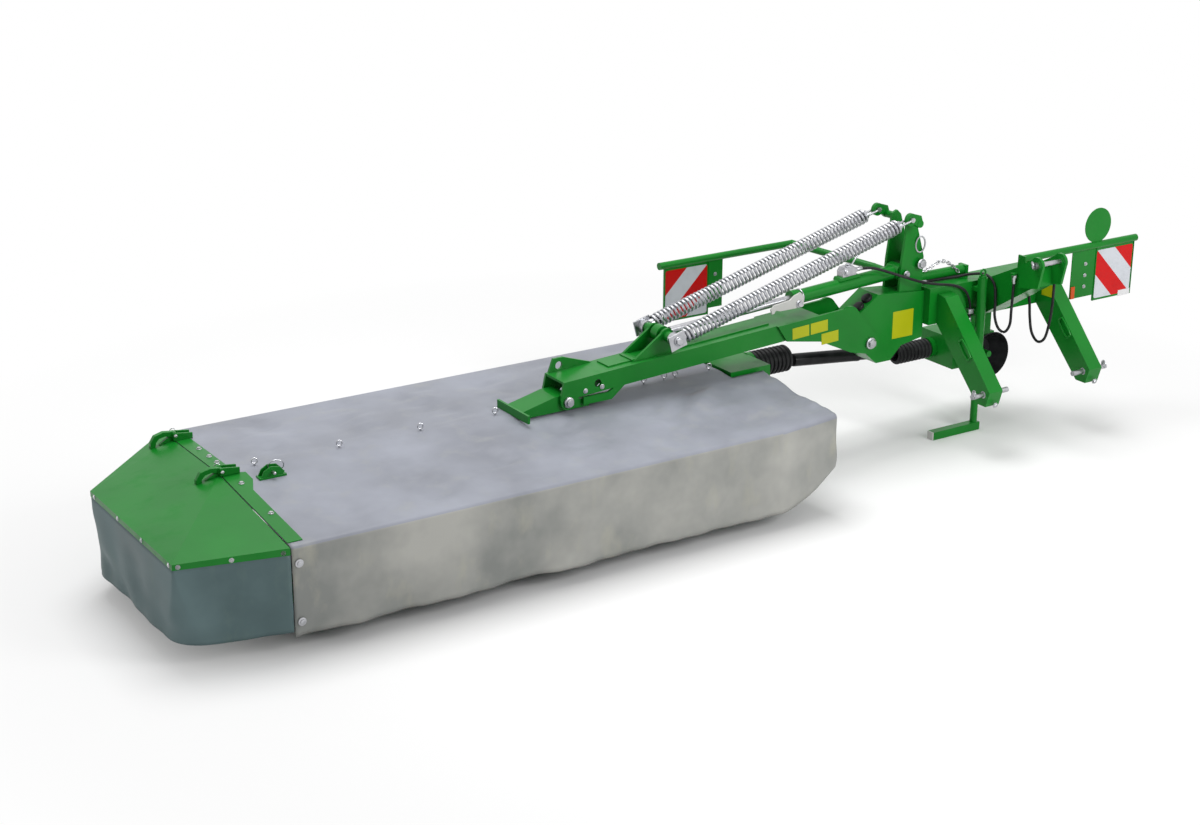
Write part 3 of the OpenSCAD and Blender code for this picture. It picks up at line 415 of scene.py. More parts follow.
def ring_path(centre, normal, radius, stretch=1.0, count=32):
    """A circle about a centre, longer along its second axis by a stretch."""
    normal = unit(normal)
    first = unit(np.cross(normal, np.eye(3)[np.argmin(np.abs(normal))]))
    second = np.cross(normal, first)
    cosines, sines = circle(count)
    return np.asarray(centre) + radius * (cosines * first + stretch * sines * second)


def add_piece(name, shapes, finish, body, smooth=35.0, bevel=0.0, outward=True):
    """One object from (points, faces) pairs, with its finish as its one material."""
    starts = np.cumsum([0] + [len(points) for points, _ in shapes])
    points = np.concatenate([shape_points for shape_points, _ in shapes])
    pairs = zip(shapes, starts.tolist())
    faces = [[corner + start for corner in face] for (_, quads), start in pairs for face in quads]
    mesh = bpy.data.meshes.new(name)
    mesh.from_pydata(points.tolist(), [], faces)
    if outward:
        work = bmesh.new()
        work.from_mesh(mesh)
        bmesh.ops.recalc_face_normals(work, faces=work.faces)
        work.to_mesh(mesh)
        work.free()
    mesh.polygons.foreach_set("use_smooth", np.ones(len(mesh.polygons), bool))
    mesh.set_sharp_from_angle(angle=math.radians(smooth))
    mesh.materials.append(finish.material)
    piece = bpy.data.objects.new(name, mesh)
    bpy.context.collection.objects.link(piece)
    if bevel:
        edge = piece.modifiers.new("edge", "BEVEL")
        edge.width = bevel
        edge.segments = 2
        edge.limit_method = "ANGLE"
    if body:
        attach(piece, body)
    return piece


# %% [markdown]
# ## Screws, washers and rings
# Farm machines are bolted together in plain sight. A bolt here is a round washer and a six-sided head with
# a broken edge, both turned from a short profile; lifting eyes and lock rings are thin closed pipes.


# %% Small hardware
def bolt(centre, axis, size):
    """A washer and a six-sided head: two profiles turned about the same axis."""
    washer = [(1.25, 0), (1.3, 0.05), (1.3, 0.2), (1.2, 0.26), (0.5, 0.26)]
    head = [(1.0, 0.2), (1.02, 0.75), (0.9, 0.88), (0.4, 0.9)]
    return [
        turned(np.array(washer) * size, centre, axis, 20),
        turned(np.array(head) * size, centre, axis, 6),
    ]


def dome(centre, axis, size):
    """A flat round screw head on a washer."""
    profile = [(1.0, 0), (1.0, 0.12), (0.62, 0.2), (0.56, 0.42), (0.3, 0.5), (0.1, 0.5)]
    return [turned(np.array(profile) * size, centre, axis, 18)]


def eye_bolt(centre, axis, size):
    """A washer, a short stem and a ring that stands on it."""
    top = np.asarray(centre) + unit(axis) * size * 2.0
    loop = piped(ring_path(top, (0.3, 1.0, 0.0), size, 1.0, 20), size * 0.24, 8, closed=True)
    stem = [(1.1, 0), (1.1, 0.2), (0.35, 0.25), (0.35, 1.0), (0.1, 1.05)]
    return [turned(np.array(stem) * size, centre, axis, 14), loop]


print("a bolt has", sum(len(faces) for _, faces in bolt((0, 0, 0), (0, 0, 1), 0.01)), "faces")

# %% [markdown]
# ## Coated cloth
# The mower is closed in by grey coated cloth that lies over a frame and hangs down as curtains. A cloth
# simulation would sag between the ribs, but the real cloth is laced tight, so the sheet is written as a
# section carried along the cover: front hem, rounded front edge, ridge, rear edge, rear hem. Soft folds are
# sums of waves that fade out over each rib.


# %% Cloth finish
def make_cloth(name, light, dark):
    """Coated cloth: cloudy light and dark patches that are painted shade and highlights of the folds, faint
    stains, a fine weave and a satin coat.
    """
    finish = Finish(name)
    # Cloudy patches between the dark and light tones: painted shade and highlights of the cloth's folds
    cloud = finish.span(finish.noise(2.2, 4.0, 0.55), 0.35, 0.68)
    stain = finish.span(finish.noise(7.0, 5.0, 0.6, (1.0, 1.0, 0.5)), 0.55, 0.75)
    tone = finish.blend(cloud, rgb(*dark), rgb(*light))
    beige = tuple(c * f for c, f in zip(light, (1.02, 1.0, 0.86)))
    weave = finish.noise(900.0, 2.0) + finish.noise(26.0, 3.0) * 0.8
    return finish.set(
        base_color=finish.blend(stain * 0.5, tone, rgb(*beige)),
        roughness=0.36 + cloud * 0.16,
        normal=finish.bump(weave, 0.12, 0.002),
    )


# The spread from each cloth's dark tone to its light tone is painted shade and highlight of its folds
grey_cloth = make_cloth("grey_cloth", (0.285, 0.299, 0.344), (0.205, 0.215, 0.246))
# The hanging curtains get a warmer copy of the same cloth with a wider dark-to-light spread: painted shade
# and reflections of the upright cloth
curtain_cloth_painted_light = make_cloth("curtain_cloth_painted_light", (0.360, 0.358, 0.334), (0.200, 0.208, 0.198))
end_cloth_finish = make_cloth("slate_cloth", (0.115, 0.172, 0.178), (0.075, 0.118, 0.122))

# %% The big sheet over the frame
COVER_LOW, COVER_HIGH = size_of("cover_top")
COVER_STRAIGHT = -COVER_LOW[0]
COVER_END = COVER_HIGH[0]
COVER_FRONT = COVER_LOW[1]
COVER_REAR = COVER_HIGH[1]
FRONT_CURTAIN_TOP = size_of("front_curtain")[1][2] + 0.0053
REAR_CURTAIN_TOP = size_of("rear_curtain")[1][2] + 0.0053
RIDGE = COVER_HIGH[2]
HEM = size_of("front_curtain")[0][2]
HEM_INNER = size_of("inner_curtain")[0][2]
EDGE_ROUND = 0.020
CLOTH_THICK = 0.004
NOTCH_X = size_of("mower_gearbox")[0][0] - 0.012
NOTCH_FRONT = -0.105
NOTCH_REAR = size_of("mower_boot")[1][1] + 0.012
RIB_FIRST = COVER_LOW[0] + 0.178
RIB_PITCH = 0.420
CREASE_X = 1.10
CREASE_Y = -0.30
print("cover from", COVER_LOW, "to", COVER_HIGH, "notch", NOTCH_X, NOTCH_REAR)


def folds(x, y, seed, waves, longest):
    """Soft folds from -1 to 1: sine waves with seeded directions, wavelengths and phases."""
    draw = np.random.default_rng(seed)
    heading = draw.uniform(0, np.pi, waves)
    length = longest * draw.uniform(0.35, 1.0, waves)
    phase = draw.uniform(0, 2 * np.pi, waves)
    run = x[..., None] * np.cos(heading) + y[..., None] * np.sin(heading)
    return np.sin(2 * np.pi * run / length + phase).sum(axis=-1) / waves


def inner_share(x):
    """0 on the straight part of the cover, 1 at its inner end."""
    return np.clip((x - COVER_STRAIGHT) / (COVER_END - COVER_STRAIGHT), 0, 1)


def cloth_top(x, y):
    """Height of the cloth: two slopes from the ridge, waves between the ribs and folds at the inner end."""
    front_slope = (RIDGE - FRONT_CURTAIN_TOP) / -COVER_FRONT
    rear_slope = (RIDGE - REAR_CURTAIN_TOP) / COVER_REAR
    plane = RIDGE - np.where(y < 0, -y * front_slope, y * rear_slope)
    between = np.sin(np.pi * (x - RIB_FIRST) / RIB_PITCH) ** 2
    edge = np.clip((np.minimum(y - COVER_FRONT, COVER_REAR - y) - 0.045) / 0.10, 0, 1)
    beam = np.clip((np.abs(y + 0.025) - 0.085) / 0.08, 0, 1)
    strip = np.clip((x - COVER_LOW[0] - 0.085) / 0.10, 0, 1)
    waves = folds(x, y, 7, 6, 0.62) * 0.024 + folds(x, y, 11, 5, 0.23) * 0.007
    along = (x - CREASE_X) * 0.77 + (y - CREASE_Y) * 0.64
    across = (y - CREASE_Y) * 0.77 - (x - CREASE_X) * 0.64
    crease = 0.016 * np.exp(-((across / 0.045) ** 2)) * np.exp(-((along / 0.32) ** 2))
    second = 0.010 * np.exp(-(((across - 0.13) / 0.035) ** 2)) * np.exp(-((along / 0.26) ** 2))
    lift = 0.013 * inner_share(x) * np.clip(y / COVER_FRONT, 0, 1)
    return plane + lift + edge * strip * beam * (between * (waves - 0.006) + crease + second)


def hem_height(x):
    """The hem is straight and sweeps up to the inner end."""
    return HEM + (HEM_INNER - HEM) * inner_share(x) ** 1.6


def edge_drop(distance):
    """How far a round edge lies below the flat one, at a distance in from the edge."""
    inside = 1 - np.clip(distance / EDGE_ROUND, 0, 1)
    return EDGE_ROUND * (1 - np.sqrt(1 - inside**2))


def cover_sheet():
    """Rows run round the section, columns along the cover; the notch at the gearbox is left open."""
    straight = np.linspace(COVER_LOW[0], COVER_STRAIGHT, 150)
    inner = np.linspace(COVER_STRAIGHT, COVER_END, 34)[1:]
    columns = np.unique(np.concatenate([straight, inner, [NOTCH_X]]))
    hang = np.linspace(0, 1, 18)[:-1]
    bend = EDGE_ROUND * (1 - np.cos(np.linspace(0, np.pi / 2, 7)))
    flat_front = np.linspace(COVER_FRONT + EDGE_ROUND, NOTCH_FRONT, 34)[1:]
    flat_notch = np.linspace(NOTCH_FRONT, NOTCH_REAR, 16)[1:]
    flat_rear = np.linspace(NOTCH_REAR, COVER_REAR - EDGE_ROUND, 26)[1:-1]
    tops = [COVER_FRONT + bend, flat_front, flat_notch, flat_rear, COVER_REAR - bend[::-1]]
    rows = np.concatenate([np.full(len(hang), COVER_FRONT), *tops, np.full(len(hang), COVER_REAR)])
    share = np.concatenate([hang, np.ones(len(rows) - 2 * len(hang)), hang[::-1]])
    y, x = np.meshgrid(rows, columns, indexing="ij")
    hung = np.broadcast_to(share[:, None], x.shape)
    drop = edge_drop(y - COVER_FRONT) + edge_drop(COVER_REAR - y)
    top = cloth_top(x, y) - drop
    z = hem_height(x) + (top - hem_height(x)) * hung
    loose = (1 - hung) ** 1.3
    ripple = folds(x, np.zeros_like(x), 5, 5, 0.9) * 0.036 + folds(x, z, 9, 5, 0.34) * 0.018
    out = np.sign(y) * np.where(hung < 1, loose * (ripple + 0.004), 0)
    turn_in = 0.030 * inner_share(x) * np.clip(y / COVER_FRONT, 0, 1)
    points = np.stack([x, y + out + turn_in, z], axis=-1)
    faces = np.array(grid_faces(*x.shape))
    middle = points.reshape(-1, 3)[faces].mean(axis=1)
    open_x = middle[:, 0] > NOTCH_X
    open_y = (middle[:, 1] > NOTCH_FRONT) & (middle[:, 1] < NOTCH_REAR)
    flat_part = hung.reshape(-1)[faces].min(axis=1) > 0.999
    return points.reshape(-1, 3), faces[~(open_x & open_y & flat_part)].tolist()


def sheet_piece(name, shape, finish, body, nodes_replaced):
    """A sheet with a thin wall inside it, which hides the CAD nodes it replaces."""
    piece = add_piece(name, [shape], finish, body, smooth=70.0, outward=False)
    wall = piece.modifiers.new("wall", "SOLIDIFY")
    wall.thickness = CLOTH_THICK
    wall.offset = -1.0
    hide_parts(*nodes_replaced)
    return piece


def area_of(shape):
    """Area of a shape's quads: half the length of the cross product of their diagonals."""
    points, faces = shape
    corner = np.asarray(points)[np.asarray(faces)]
    cross = np.cross(corner[:, 2] - corner[:, 0], corner[:, 3] - corner[:, 1])
    return float(np.linalg.norm(cross, axis=1).sum() / 2)


cover_shape = cover_sheet()
cover_cloth = sheet_piece(
    "cover_cloth", cover_shape, grey_cloth, "mower", ["cover_top", "front_curtain", "rear_curtain"],
)
# Faces that hang take the curtains' copy of the cloth, with its painted shade and reflections
cover_cloth.data.materials.append(curtain_cloth_painted_light.material)
centres = np.empty((len(cover_cloth.data.polygons), 3), np.float32)
cover_cloth.data.polygons.foreach_get("center", centres.ravel())
hanging = centres[:, 2].astype(float) < FRONT_CURTAIN_TOP - 0.012
cover_cloth.data.polygons.foreach_set("material_index", hanging.astype(np.int32))


# %% Rails and ribs under the cloth
def swept(path, corners):
    """(y, z) corners carried along a path: point = path + (0, y, z)."""
    path = np.asarray(path, float)
    section = np.pad(np.asarray(corners, float), ((0, 0), (1, 0)))
    points = path[:, None] + section
    count = len(corners)
    last = (len(path) - 1) * count
    caps = [list(range(count)), list(range(last, last + count))]
    return points.reshape(-1, 3), grid_faces(len(path), count, wrap_columns=True) + caps


RAIL = 0.030
LINING = 0.0053
RIB_COUNT = 7
RIB_THICK = 0.008
RIB_DEPTH = 0.045
BEAM_LOW, BEAM_HIGH = size_of("carrier_beam")
rail_end = COVER_END - LINING
front_top = FRONT_CURTAIN_TOP - LINING
rear_top = REAR_CURTAIN_TOP - LINING
front_face = COVER_FRONT + LINING
rear_face = COVER_REAR - LINING
front_rail = [(0, 0), (RAIL, 0.003), (RAIL, -RAIL), (0, -RAIL)]
rear_rail = [(0, 0), (-RAIL, 0.0003), (-RAIL, -RAIL), (0, -RAIL)]
front_path = [
    (COVER_LOW[0], front_face, front_top),
    (COVER_STRAIGHT, front_face, front_top),
    (rail_end, front_face + 0.030, front_top + 0.012),
]
rear_path = [(COVER_LOW[0], rear_face, rear_top), (rail_end, rear_face, rear_top)]
frame_shapes = [swept(front_path, front_rail), swept(rear_path, rear_rail)]


def rib_outline(edge, top, bottom, beam):
    """A rib seen along the cover: from a rail's edge to a side of the beam, flush with the beam's top."""
    return [(edge, top), (beam, BEAM_HIGH[2]), (beam, BEAM_HIGH[2] - RIB_DEPTH), (edge, bottom)]


front_rib = rib_outline(front_face + RAIL, front_top + 0.003, front_top - RAIL, BEAM_LOW[1])
rear_rib = rib_outline(rear_face - RAIL, rear_top, rear_top - RAIL, BEAM_HIGH[1])
for index in range(RIB_COUNT):
    rib_x = min(RIB_FIRST + index * RIB_PITCH, BEAM_HIGH[0] - RIB_THICK) + RIB_THICK / 2
    for rib in (front_rib, rear_rib):
        frame_shapes.append(plated(rib, (rib_x, 0, 0), (0, 1, 0), (0, 0, 1), RIB_THICK))
frame_bars = add_piece("frame_bars", frame_shapes, green_paint, "mower", bevel=0.002)
print("frame has", len(frame_shapes), "bars")
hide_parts("cover_frame")


# %% The curtain at the inner end
def inner_sheet():
    """A wall across the inner end, hollowed a little towards the mower, with the gearbox notch left open."""
    low, high = size_of("inner_curtain")
    notch_low = size_of("mower_boot")[0][2] - 0.072
    front = COVER_FRONT + 0.036
    rear = high[1]
    rows = np.unique(np.concatenate([np.linspace(low[2], notch_low, 12), np.linspace(notch_low, RIDGE, 14)]))
    left = np.linspace(front, NOTCH_FRONT, 30)
    right = np.linspace(NOTCH_REAR, rear, 24)
    columns = np.unique(np.concatenate([left, np.linspace(NOTCH_FRONT, NOTCH_REAR, 14), right]))
    share = (rows - low[2]) / (RIDGE - low[2])
    s, y = np.meshgrid(share, columns, indexing="ij")
    top = cloth_top(np.full_like(y, COVER_END), y) - 0.006
    z = low[2] + (top - low[2]) * s
    across = (y - front) / (rear - front)
    hollow = 0.022 * np.sin(np.pi * across) * (1 - 0.5 * s)
    x = COVER_END - 0.006 - hollow + 0.006 * folds(y, z, 21, 5, 0.5)
    points = np.stack([x, y, z], axis=-1)
    faces = np.array(grid_faces(*y.shape))
    middle = points.reshape(-1, 3)[faces].mean(axis=1)
    inside = (middle[:, 1] > NOTCH_FRONT) & (middle[:, 1] < NOTCH_REAR) & (middle[:, 2] > notch_low)
    return points.reshape(-1, 3), faces[~inside].tolist()


inner_shape = inner_sheet()
sheet_piece(
    "inner_cloth", inner_shape, grey_cloth, "mower", ["inner_curtain"],
)
print("inner cloth area", round(area_of(inner_shape), 3))


# %% The curtain round the end cover
END_CORNER_FRONT = -0.621
END_CORNER_REAR = 0.341


def end_sheet():
    """A path round three sides whose corners grow rounder towards the hem, swept from the flange down."""
    low, high = size_of("end_curtain")
    outer = [(low[0], END_CORNER_FRONT), (low[0], END_CORNER_REAR)]
    plan = np.array([(high[0], low[1]), *outer, (high[0], high[1])])
    share = np.linspace(0, 1, 20)[:, None, None]
    cut = 0.012 + 0.13 * share**1.5
    ways = unit(np.diff(plan, axis=0))

    def straight(start, stop, count):
        t = np.linspace(0, 1, count)[None, :, None]
        return start + (stop - start) * t

    def corner(point, way_in, way_out, count):
        t = np.linspace(0, 1, count + 2)[1:-1][None, :, None]
        start = point - cut * way_in
        stop = point + cut * way_out
        return (1 - t) ** 2 * start + 2 * t * (1 - t) * point + t**2 * stop

    path = np.concatenate(
        [
            straight(plan[0] + 0 * cut, plan[1] - cut * ways[0], 24),
            corner(plan[1], ways[0], ways[1], 10),
            straight(plan[1] + cut * ways[1], plan[2] - cut * ways[1], 36),
            corner(plan[2], ways[1], ways[2], 10),
            straight(plan[2] + cut * ways[2], plan[3] + 0 * cut, 20),
        ],
        axis=1,
    )
    depth = np.broadcast_to(share[..., 0], path.shape[:2])
    z = high[2] + (low[2] - high[2]) * depth
    run = np.linspace(0, 1.9, path.shape[1])[None, :] + 0 * depth
    ripple = depth**1.2 * (folds(run, z, 31, 5, 0.55) * 0.020 + folds(run, z, 33, 4, 0.22) * 0.010)
    middle = np.array([high[0] + 0.1, -0.1])
    outwards = unit(path - middle)
    plan_points = path + outwards * ripple[..., None]
    plan_points[..., 0] = np.minimum(plan_points[..., 0], high[0])
    points = np.concatenate([plan_points, z[..., None]], axis=-1)
    return points.reshape(-1, 3), grid_faces(*z.shape)


end_shape = end_sheet()
sheet_piece(
    "end_cloth", end_shape, end_cloth_finish, "end_cover_body", ["end_curtain"],
)
print("end cloth area", round(area_of(end_shape), 3))

# %% [markdown]
# ## Relief springs
# Two long tension springs carry most of the mower's weight. A helix is a circle that moves along its axis
# while it turns; a small circle carried along it is the wire. The ends close up to a smaller radius, as a
# wound spring does where it is screwed on its plug.

# %% Coil springs
SPRING_FOOT = np.array([1.056, 0.0, 0.8442])
SPRING_HOOK = np.array([joint_places["spring_swing"][0], 0.0, joint_places["spring_swing"][2]])
SPRING_TURNS = 60
WIRE_RADIUS = 0.0070
COIL_RADIUS = 0.0342
SPRING_AXIS = unit(SPRING_HOOK - SPRING_FOOT)
SPRING_SIDE = np.array([0.0, 1.0, 0.0])
SPRING_UP = np.cross(SPRING_AXIS, SPRING_SIDE)
FOOT_GAP = 0.050
HOOK_GAP = 0.088


def coil(y):
    """axis * height + radius * (cos a, sin a), where the radius narrows over the first and last turn."""
    reach = np.linalg.norm(SPRING_HOOK - SPRING_FOOT)
    t = np.linspace(0, 1, SPRING_TURNS * 22 + 1)[:, None]
    height = FOOT_GAP + t * (reach - FOOT_GAP - HOOK_GAP)
    angle = 2 * np.pi * SPRING_TURNS * t
    ends = np.clip(np.minimum(t, 1 - t) * SPRING_TURNS / 1.5, 0, 1)
    radius = COIL_RADIUS - 0.004 * (1 - ends) ** 2
    ring = np.cos(angle) * SPRING_SIDE + np.sin(angle) * SPRING_UP
    path = SPRING_FOOT + (0, y, 0) + height * SPRING_AXIS + radius * ring
    return piped(path, WIRE_RADIUS, 9, helper=SPRING_AXIS)


for node in ("spring_front", "spring_rear"):
    low, high = size_of(node)
    spring = add_piece("coil_" + node, [coil((low[1] + high[1]) / 2)], zinc_steel, "springs")
    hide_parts(node)
    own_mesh(spring)
    print(spring.name, len(spring.data.polygons), "faces")

# %% Seat plates of the springs
BOOM_MIDDLE = joint_places["boom_lift"][1]
SEAT_OFFSET = 0.134
plate = [(-0.050, -0.040), (0.046, -0.040), (0.046, 0.040), (-0.050, 0.040)]
seat_shapes = []
for side in (-1, 1):
    y = BOOM_MIDDLE + side * SEAT_OFFSET
    seat_shapes.append(plated(plate, SPRING_FOOT + (0, y + side * 0.019, 0), SPRING_AXIS, SPRING_UP, 0.009))
    seat_shapes += bolt(SPRING_FOOT + (0, y + side * 0.0236, 0), (0, side, 0), 0.019)
add_piece("spring_seat_plates", seat_shapes, zinc_steel, "boom_body", bevel=0.0012)
print("seat plates have", len(seat_shapes), "shapes")

# %% [markdown]
# ## Drive shaft
# The shaft between mower and hitch runs inside a plastic guard of two tubes that slide in each other. Its
# profile is turned about the line between the two joints, with a collar where the tubes meet.

# %% Guard tube of the drive shaft
SHAFT_MOWER = np.array([1.805, 0.125, 0.514])
SHAFT_HITCH = joint_places["shaft_swing"]
shaft_run = SHAFT_HITCH - SHAFT_MOWER
shaft_length = float(np.linalg.norm(shaft_run))
shaft_profile = [
    (0.006, 0.0), (0.013, 0.002), (0.013, 0.206), (0.033, 0.212), (0.035, 0.218), (0.035, 0.640),
    (0.036, 0.642), (0.036, 0.664), (0.032, 0.668), (0.032, shaft_length - 0.222),
    (0.035, shaft_length - 0.220), (0.033, shaft_length - 0.212), (0.013, shaft_length - 0.206),
    (0.013, shaft_length - 0.0165), (0.006, shaft_length - 0.0145),
]
shaft_shapes = [turned(shaft_profile, SHAFT_MOWER, shaft_run, 40)]
cross_profile = [(0.011, -0.024), (0.013, -0.022), (0.013, 0.022), (0.011, 0.024)]
shaft_shapes.append(turned(cross_profile, SHAFT_MOWER, (0, 1, 0), 20))
shaft_guard = add_piece("shaft_guard", shaft_shapes, black_plastic, "driveline")
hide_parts("drive_shaft")
tuple(unit(shaft_run))
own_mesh(shaft_guard)
print("drive shaft is", round(shaft_length, 3), "m between its joints")

# %% [markdown]
# ## Hoses
# Rubber hoses lead from the valve on the lift cylinder to the headstock. The first crosses the cylinder's
# hinge and is left on neither body. The others hang in loops on the headstock. Each is a round
# section on one smooth path, with its points spaced evenly along that path.

# %% Hoses with their fittings
HOSE_DIAMETER = 0.015


def add_hose(name, points, body, count=72):
    """A hose: a pipe along a smooth path through the points."""
    path = smooth_path(points, count)
    hose = add_piece(name, [piped(path, HOSE_DIAMETER / 2, 14)], black_rubber, body)
    return hose


def fitting(place, axis):
    """A pressed sleeve and a nut, turned about the hose's end."""
    sleeve = [
        (0.0105, 0.0), (0.0115, 0.002), (0.0115, 0.034), (0.0095, 0.038), (0.0095, 0.044), (0.004, 0.046),
    ]
    nut = [(0.0135, 0.034), (0.0145, 0.036), (0.0145, 0.050), (0.0125, 0.053), (0.004, 0.053)]
    return [turned(sleeve, place, axis, 18), turned(nut, place, axis, 6)]


lift_hose_points = [
    (2.330, -0.034, 0.986), (2.400, -0.060, 0.982), (2.515, -0.128, 0.942), (2.640, -0.150, 0.895),
    (2.750, -0.158, 0.866), (2.870, -0.162, 0.842), (2.950, -0.168, 0.800), (2.986, -0.170, 0.730),
    (2.990, -0.170, 0.680), (2.990, -0.169, 0.636),
]
lift_hose = add_hose("lift_hose", lift_hose_points, None)
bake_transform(lift_hose)
loop_hose_points = [
    (2.760, -0.050, 0.852), (2.860, -0.050, 0.850), (2.980, -0.066, 0.852), (3.050, -0.110, 0.866),
    (3.086, -0.180, 0.872), (3.092, -0.240, 0.830), (3.092, -0.255, 0.740), (3.092, -0.258, 0.660),
    (3.092, -0.290, 0.600), (3.092, -0.340, 0.590), (3.092, -0.376, 0.640), (3.092, -0.380, 0.720),
    (3.092, -0.382, 0.800), (3.092, -0.384, 0.880),
]
add_hose("loop_hose", loop_hose_points, "headstock", count=90)
far_hose_points = [
    (3.268, -0.300, 0.830), (3.282, -0.318, 0.740), (3.284, -0.330, 0.640), (3.284, -0.352, 0.560),
    (3.284, -0.400, 0.520), (3.284, -0.450, 0.550), (3.284, -0.476, 0.640), (3.286, -0.486, 0.740),
    (3.284, -0.490, 0.820), (3.284, -0.490, 0.880),
]
add_hose("far_hose", far_hose_points, "headstock")
hose_ends = fitting((2.990, -0.169, 0.644), (0, 0, -1))
for place in ((3.092, -0.384, 0.872), (3.284, -0.490, 0.872), (3.268, -0.300, 0.826)):
    hose_ends += fitting(place, (0, 0, 1))
hose_ends += fitting((2.770, -0.050, 0.852), (-1, 0, 0))
add_piece("hose_fittings", hose_ends, zinc_steel, "headstock")
clip = boxed((2.972, -0.184, 0.668), (3.008, -0.1505, 0.694))
add_piece("hose_clips", [clip], zinc_steel, "headstock", bevel=0.002)
holder_shapes = [
    boxed((2.966, -0.192, 0.588), (3.014, -0.128, 0.598)),
    boxed((2.966, -0.138, 0.588), (3.014, -0.128, 0.6405)),
    boxed((3.078, -0.398, 0.918), (3.1055, -0.370, 0.930)),
    boxed((3.2705, -0.506, 0.914), (3.298, -0.474, 0.926)),
    boxed((3.2545, -0.314, 0.872), (3.284, -0.286, 0.884)),
    boxed((2.714, -0.066, 0.8395), (2.726, -0.034, 0.872)),
]
add_piece("hose_holders", holder_shapes, green_paint, "headstock", bevel=0.0015)

# %% Valve block on the lift cylinder
BARREL_PIN = joint_places["barrel_swing"]
BARREL_AXIS = unit(np.array([BARREL_PIN[0] - SPRING_FOOT[0], 0.0, BARREL_PIN[2] - SPRING_FOOT[2]]))
BARREL_UP = np.array([-BARREL_AXIS[2], 0.0, BARREL_AXIS[0]])
valve_base = BARREL_PIN - 0.34 * BARREL_AXIS + 0.036 * BARREL_UP


def by_valve(along, up, out=0.0):
    """A place measured from the valve's base: along the barrel, up from it and out to the front."""
    return valve_base + along * BARREL_AXIS + up * BARREL_UP - (0, out, 0)


body_outline = [
    (-0.045, 0.0), (0.045, 0.0), (0.045, 0.030), (0.030, 0.050), (-0.030, 0.050), (-0.045, 0.030),
]
valve_shapes = [plated(body_outline, by_valve(0, 0.012), BARREL_AXIS, BARREL_UP, 0.050)]
valve_shapes += bolt(by_valve(0.010, 0.060), BARREL_UP, 0.015)
valve_shapes += bolt(by_valve(-0.020, 0.036, 0.025), (0, -1, 0), 0.014)
valve_shapes += fitting(by_valve(0.092, 0.034, 0.009), -BARREL_AXIS)
lever = [by_valve(0.03, 0.058), by_valve(0.075, 0.105), by_valve(0.115, 0.120)]
valve_shapes.append(piped(smooth_path(lever, 16), 0.004, 10))
add_piece("valve_block", valve_shapes, zinc_steel, "lift_barrel_body", bevel=0.0015)
saddle = [(-0.070, -0.004), (0.070, -0.004), (0.060, 0.0125), (-0.060, 0.0125)]
add_piece(
    "valve_saddle", [plated(saddle, valve_base, BARREL_AXIS, BARREL_UP, 0.060)], green_paint,
    "lift_barrel_body", bevel=0.002,
)
print("valve sits at", np.round(valve_base, 3))

# %% Latch hook at the cylinder's head
latch_base = BARREL_PIN - 0.700 * BARREL_AXIS - (0, 0.053, 0)
latch_outline = [
    (0.030, 0.022), (0.030, -0.032), (0.018, -0.038), (-0.060, -0.034), (-0.120, -0.030), (-0.150, -0.020),
    (-0.160, -0.034), (-0.176, -0.036), (-0.182, -0.008), (-0.160, 0.010), (-0.060, 0.016), (-0.030, 0.034),
    (0.010, 0.044),
]
pale_paint = make_paint("pale_grey_paint", (0.55, 0.55, 0.53), (0.47, 0.47, 0.45))
add_piece(
    "latch_hook", [plated(latch_outline, latch_base, BARREL_AXIS, BARREL_UP, 0.010)], pale_paint,
    "lift_barrel_body", bevel=0.002,
)
strap = ring_path(BARREL_PIN - 0.655 * BARREL_AXIS, BARREL_AXIS, 0.0385, 1.0, 40)
add_piece("barrel_strap", [piped(strap, 0.0045, 8, closed=True)], zinc_steel, "lift_barrel_body")
latch_shapes = bolt(latch_base - 0.005 * SPRING_SIDE - 0.016 * BARREL_UP, (0, -1, 0), 0.016)
add_piece("latch_hardware", latch_shapes, zinc_steel, "lift_barrel_body")
print("latch hook sits at", np.round(latch_base, 3))

# %% [markdown]
# ## Warning boards
# The square boards are green sheet with a striped film on both faces. The stripes are a saw-tooth along the
# board's diagonal, cut in half: one half red, the other half white.


# %% Striped film
def make_stripes(name, low, side, lean):
    """Red where the fraction of (lean * x + z) / side is above one half, else white, with a cell grain."""
    finish = Finish(name, coat_weight=0.04, coat_roughness=0.2)
    x = finish.node("ShaderNodeSeparateXYZ", None, {0: finish.place()}, output="X")
    z = finish.node("ShaderNodeSeparateXYZ", None, {0: finish.place()}, output="Z")
    start = low[0] if lean > 0 else low[0] + side
    step = ((x - start) * lean + (z - low[2])) * (1 / side)
    tooth = finish.node("ShaderNodeMath", {"operation": "FRACT"}, {0: step})
    mask = finish.span(tooth, 0.492, 0.5)
    soil = finish.span(finish.noise(16.0, 5.0, 0.6), 0.45, 0.8)
    white = finish.blend(soil, rgb(0.56, 0.58, 0.62), rgb(0.48, 0.50, 0.53))
    red = finish.blend(soil, rgb(0.54, 0.002, 0.002), rgb(0.46, 0.002, 0.003))
    cells = finish.node("ShaderNodeTexVoronoi", None, {"Vector": finish.place(), "Scale": 420.0})
    return finish.set(
        base_color=finish.blend(mask, white, red),
        roughness=0.3 + soil * 0.2,
        normal=finish.bump(cells, 0.05, 0.001),
    )


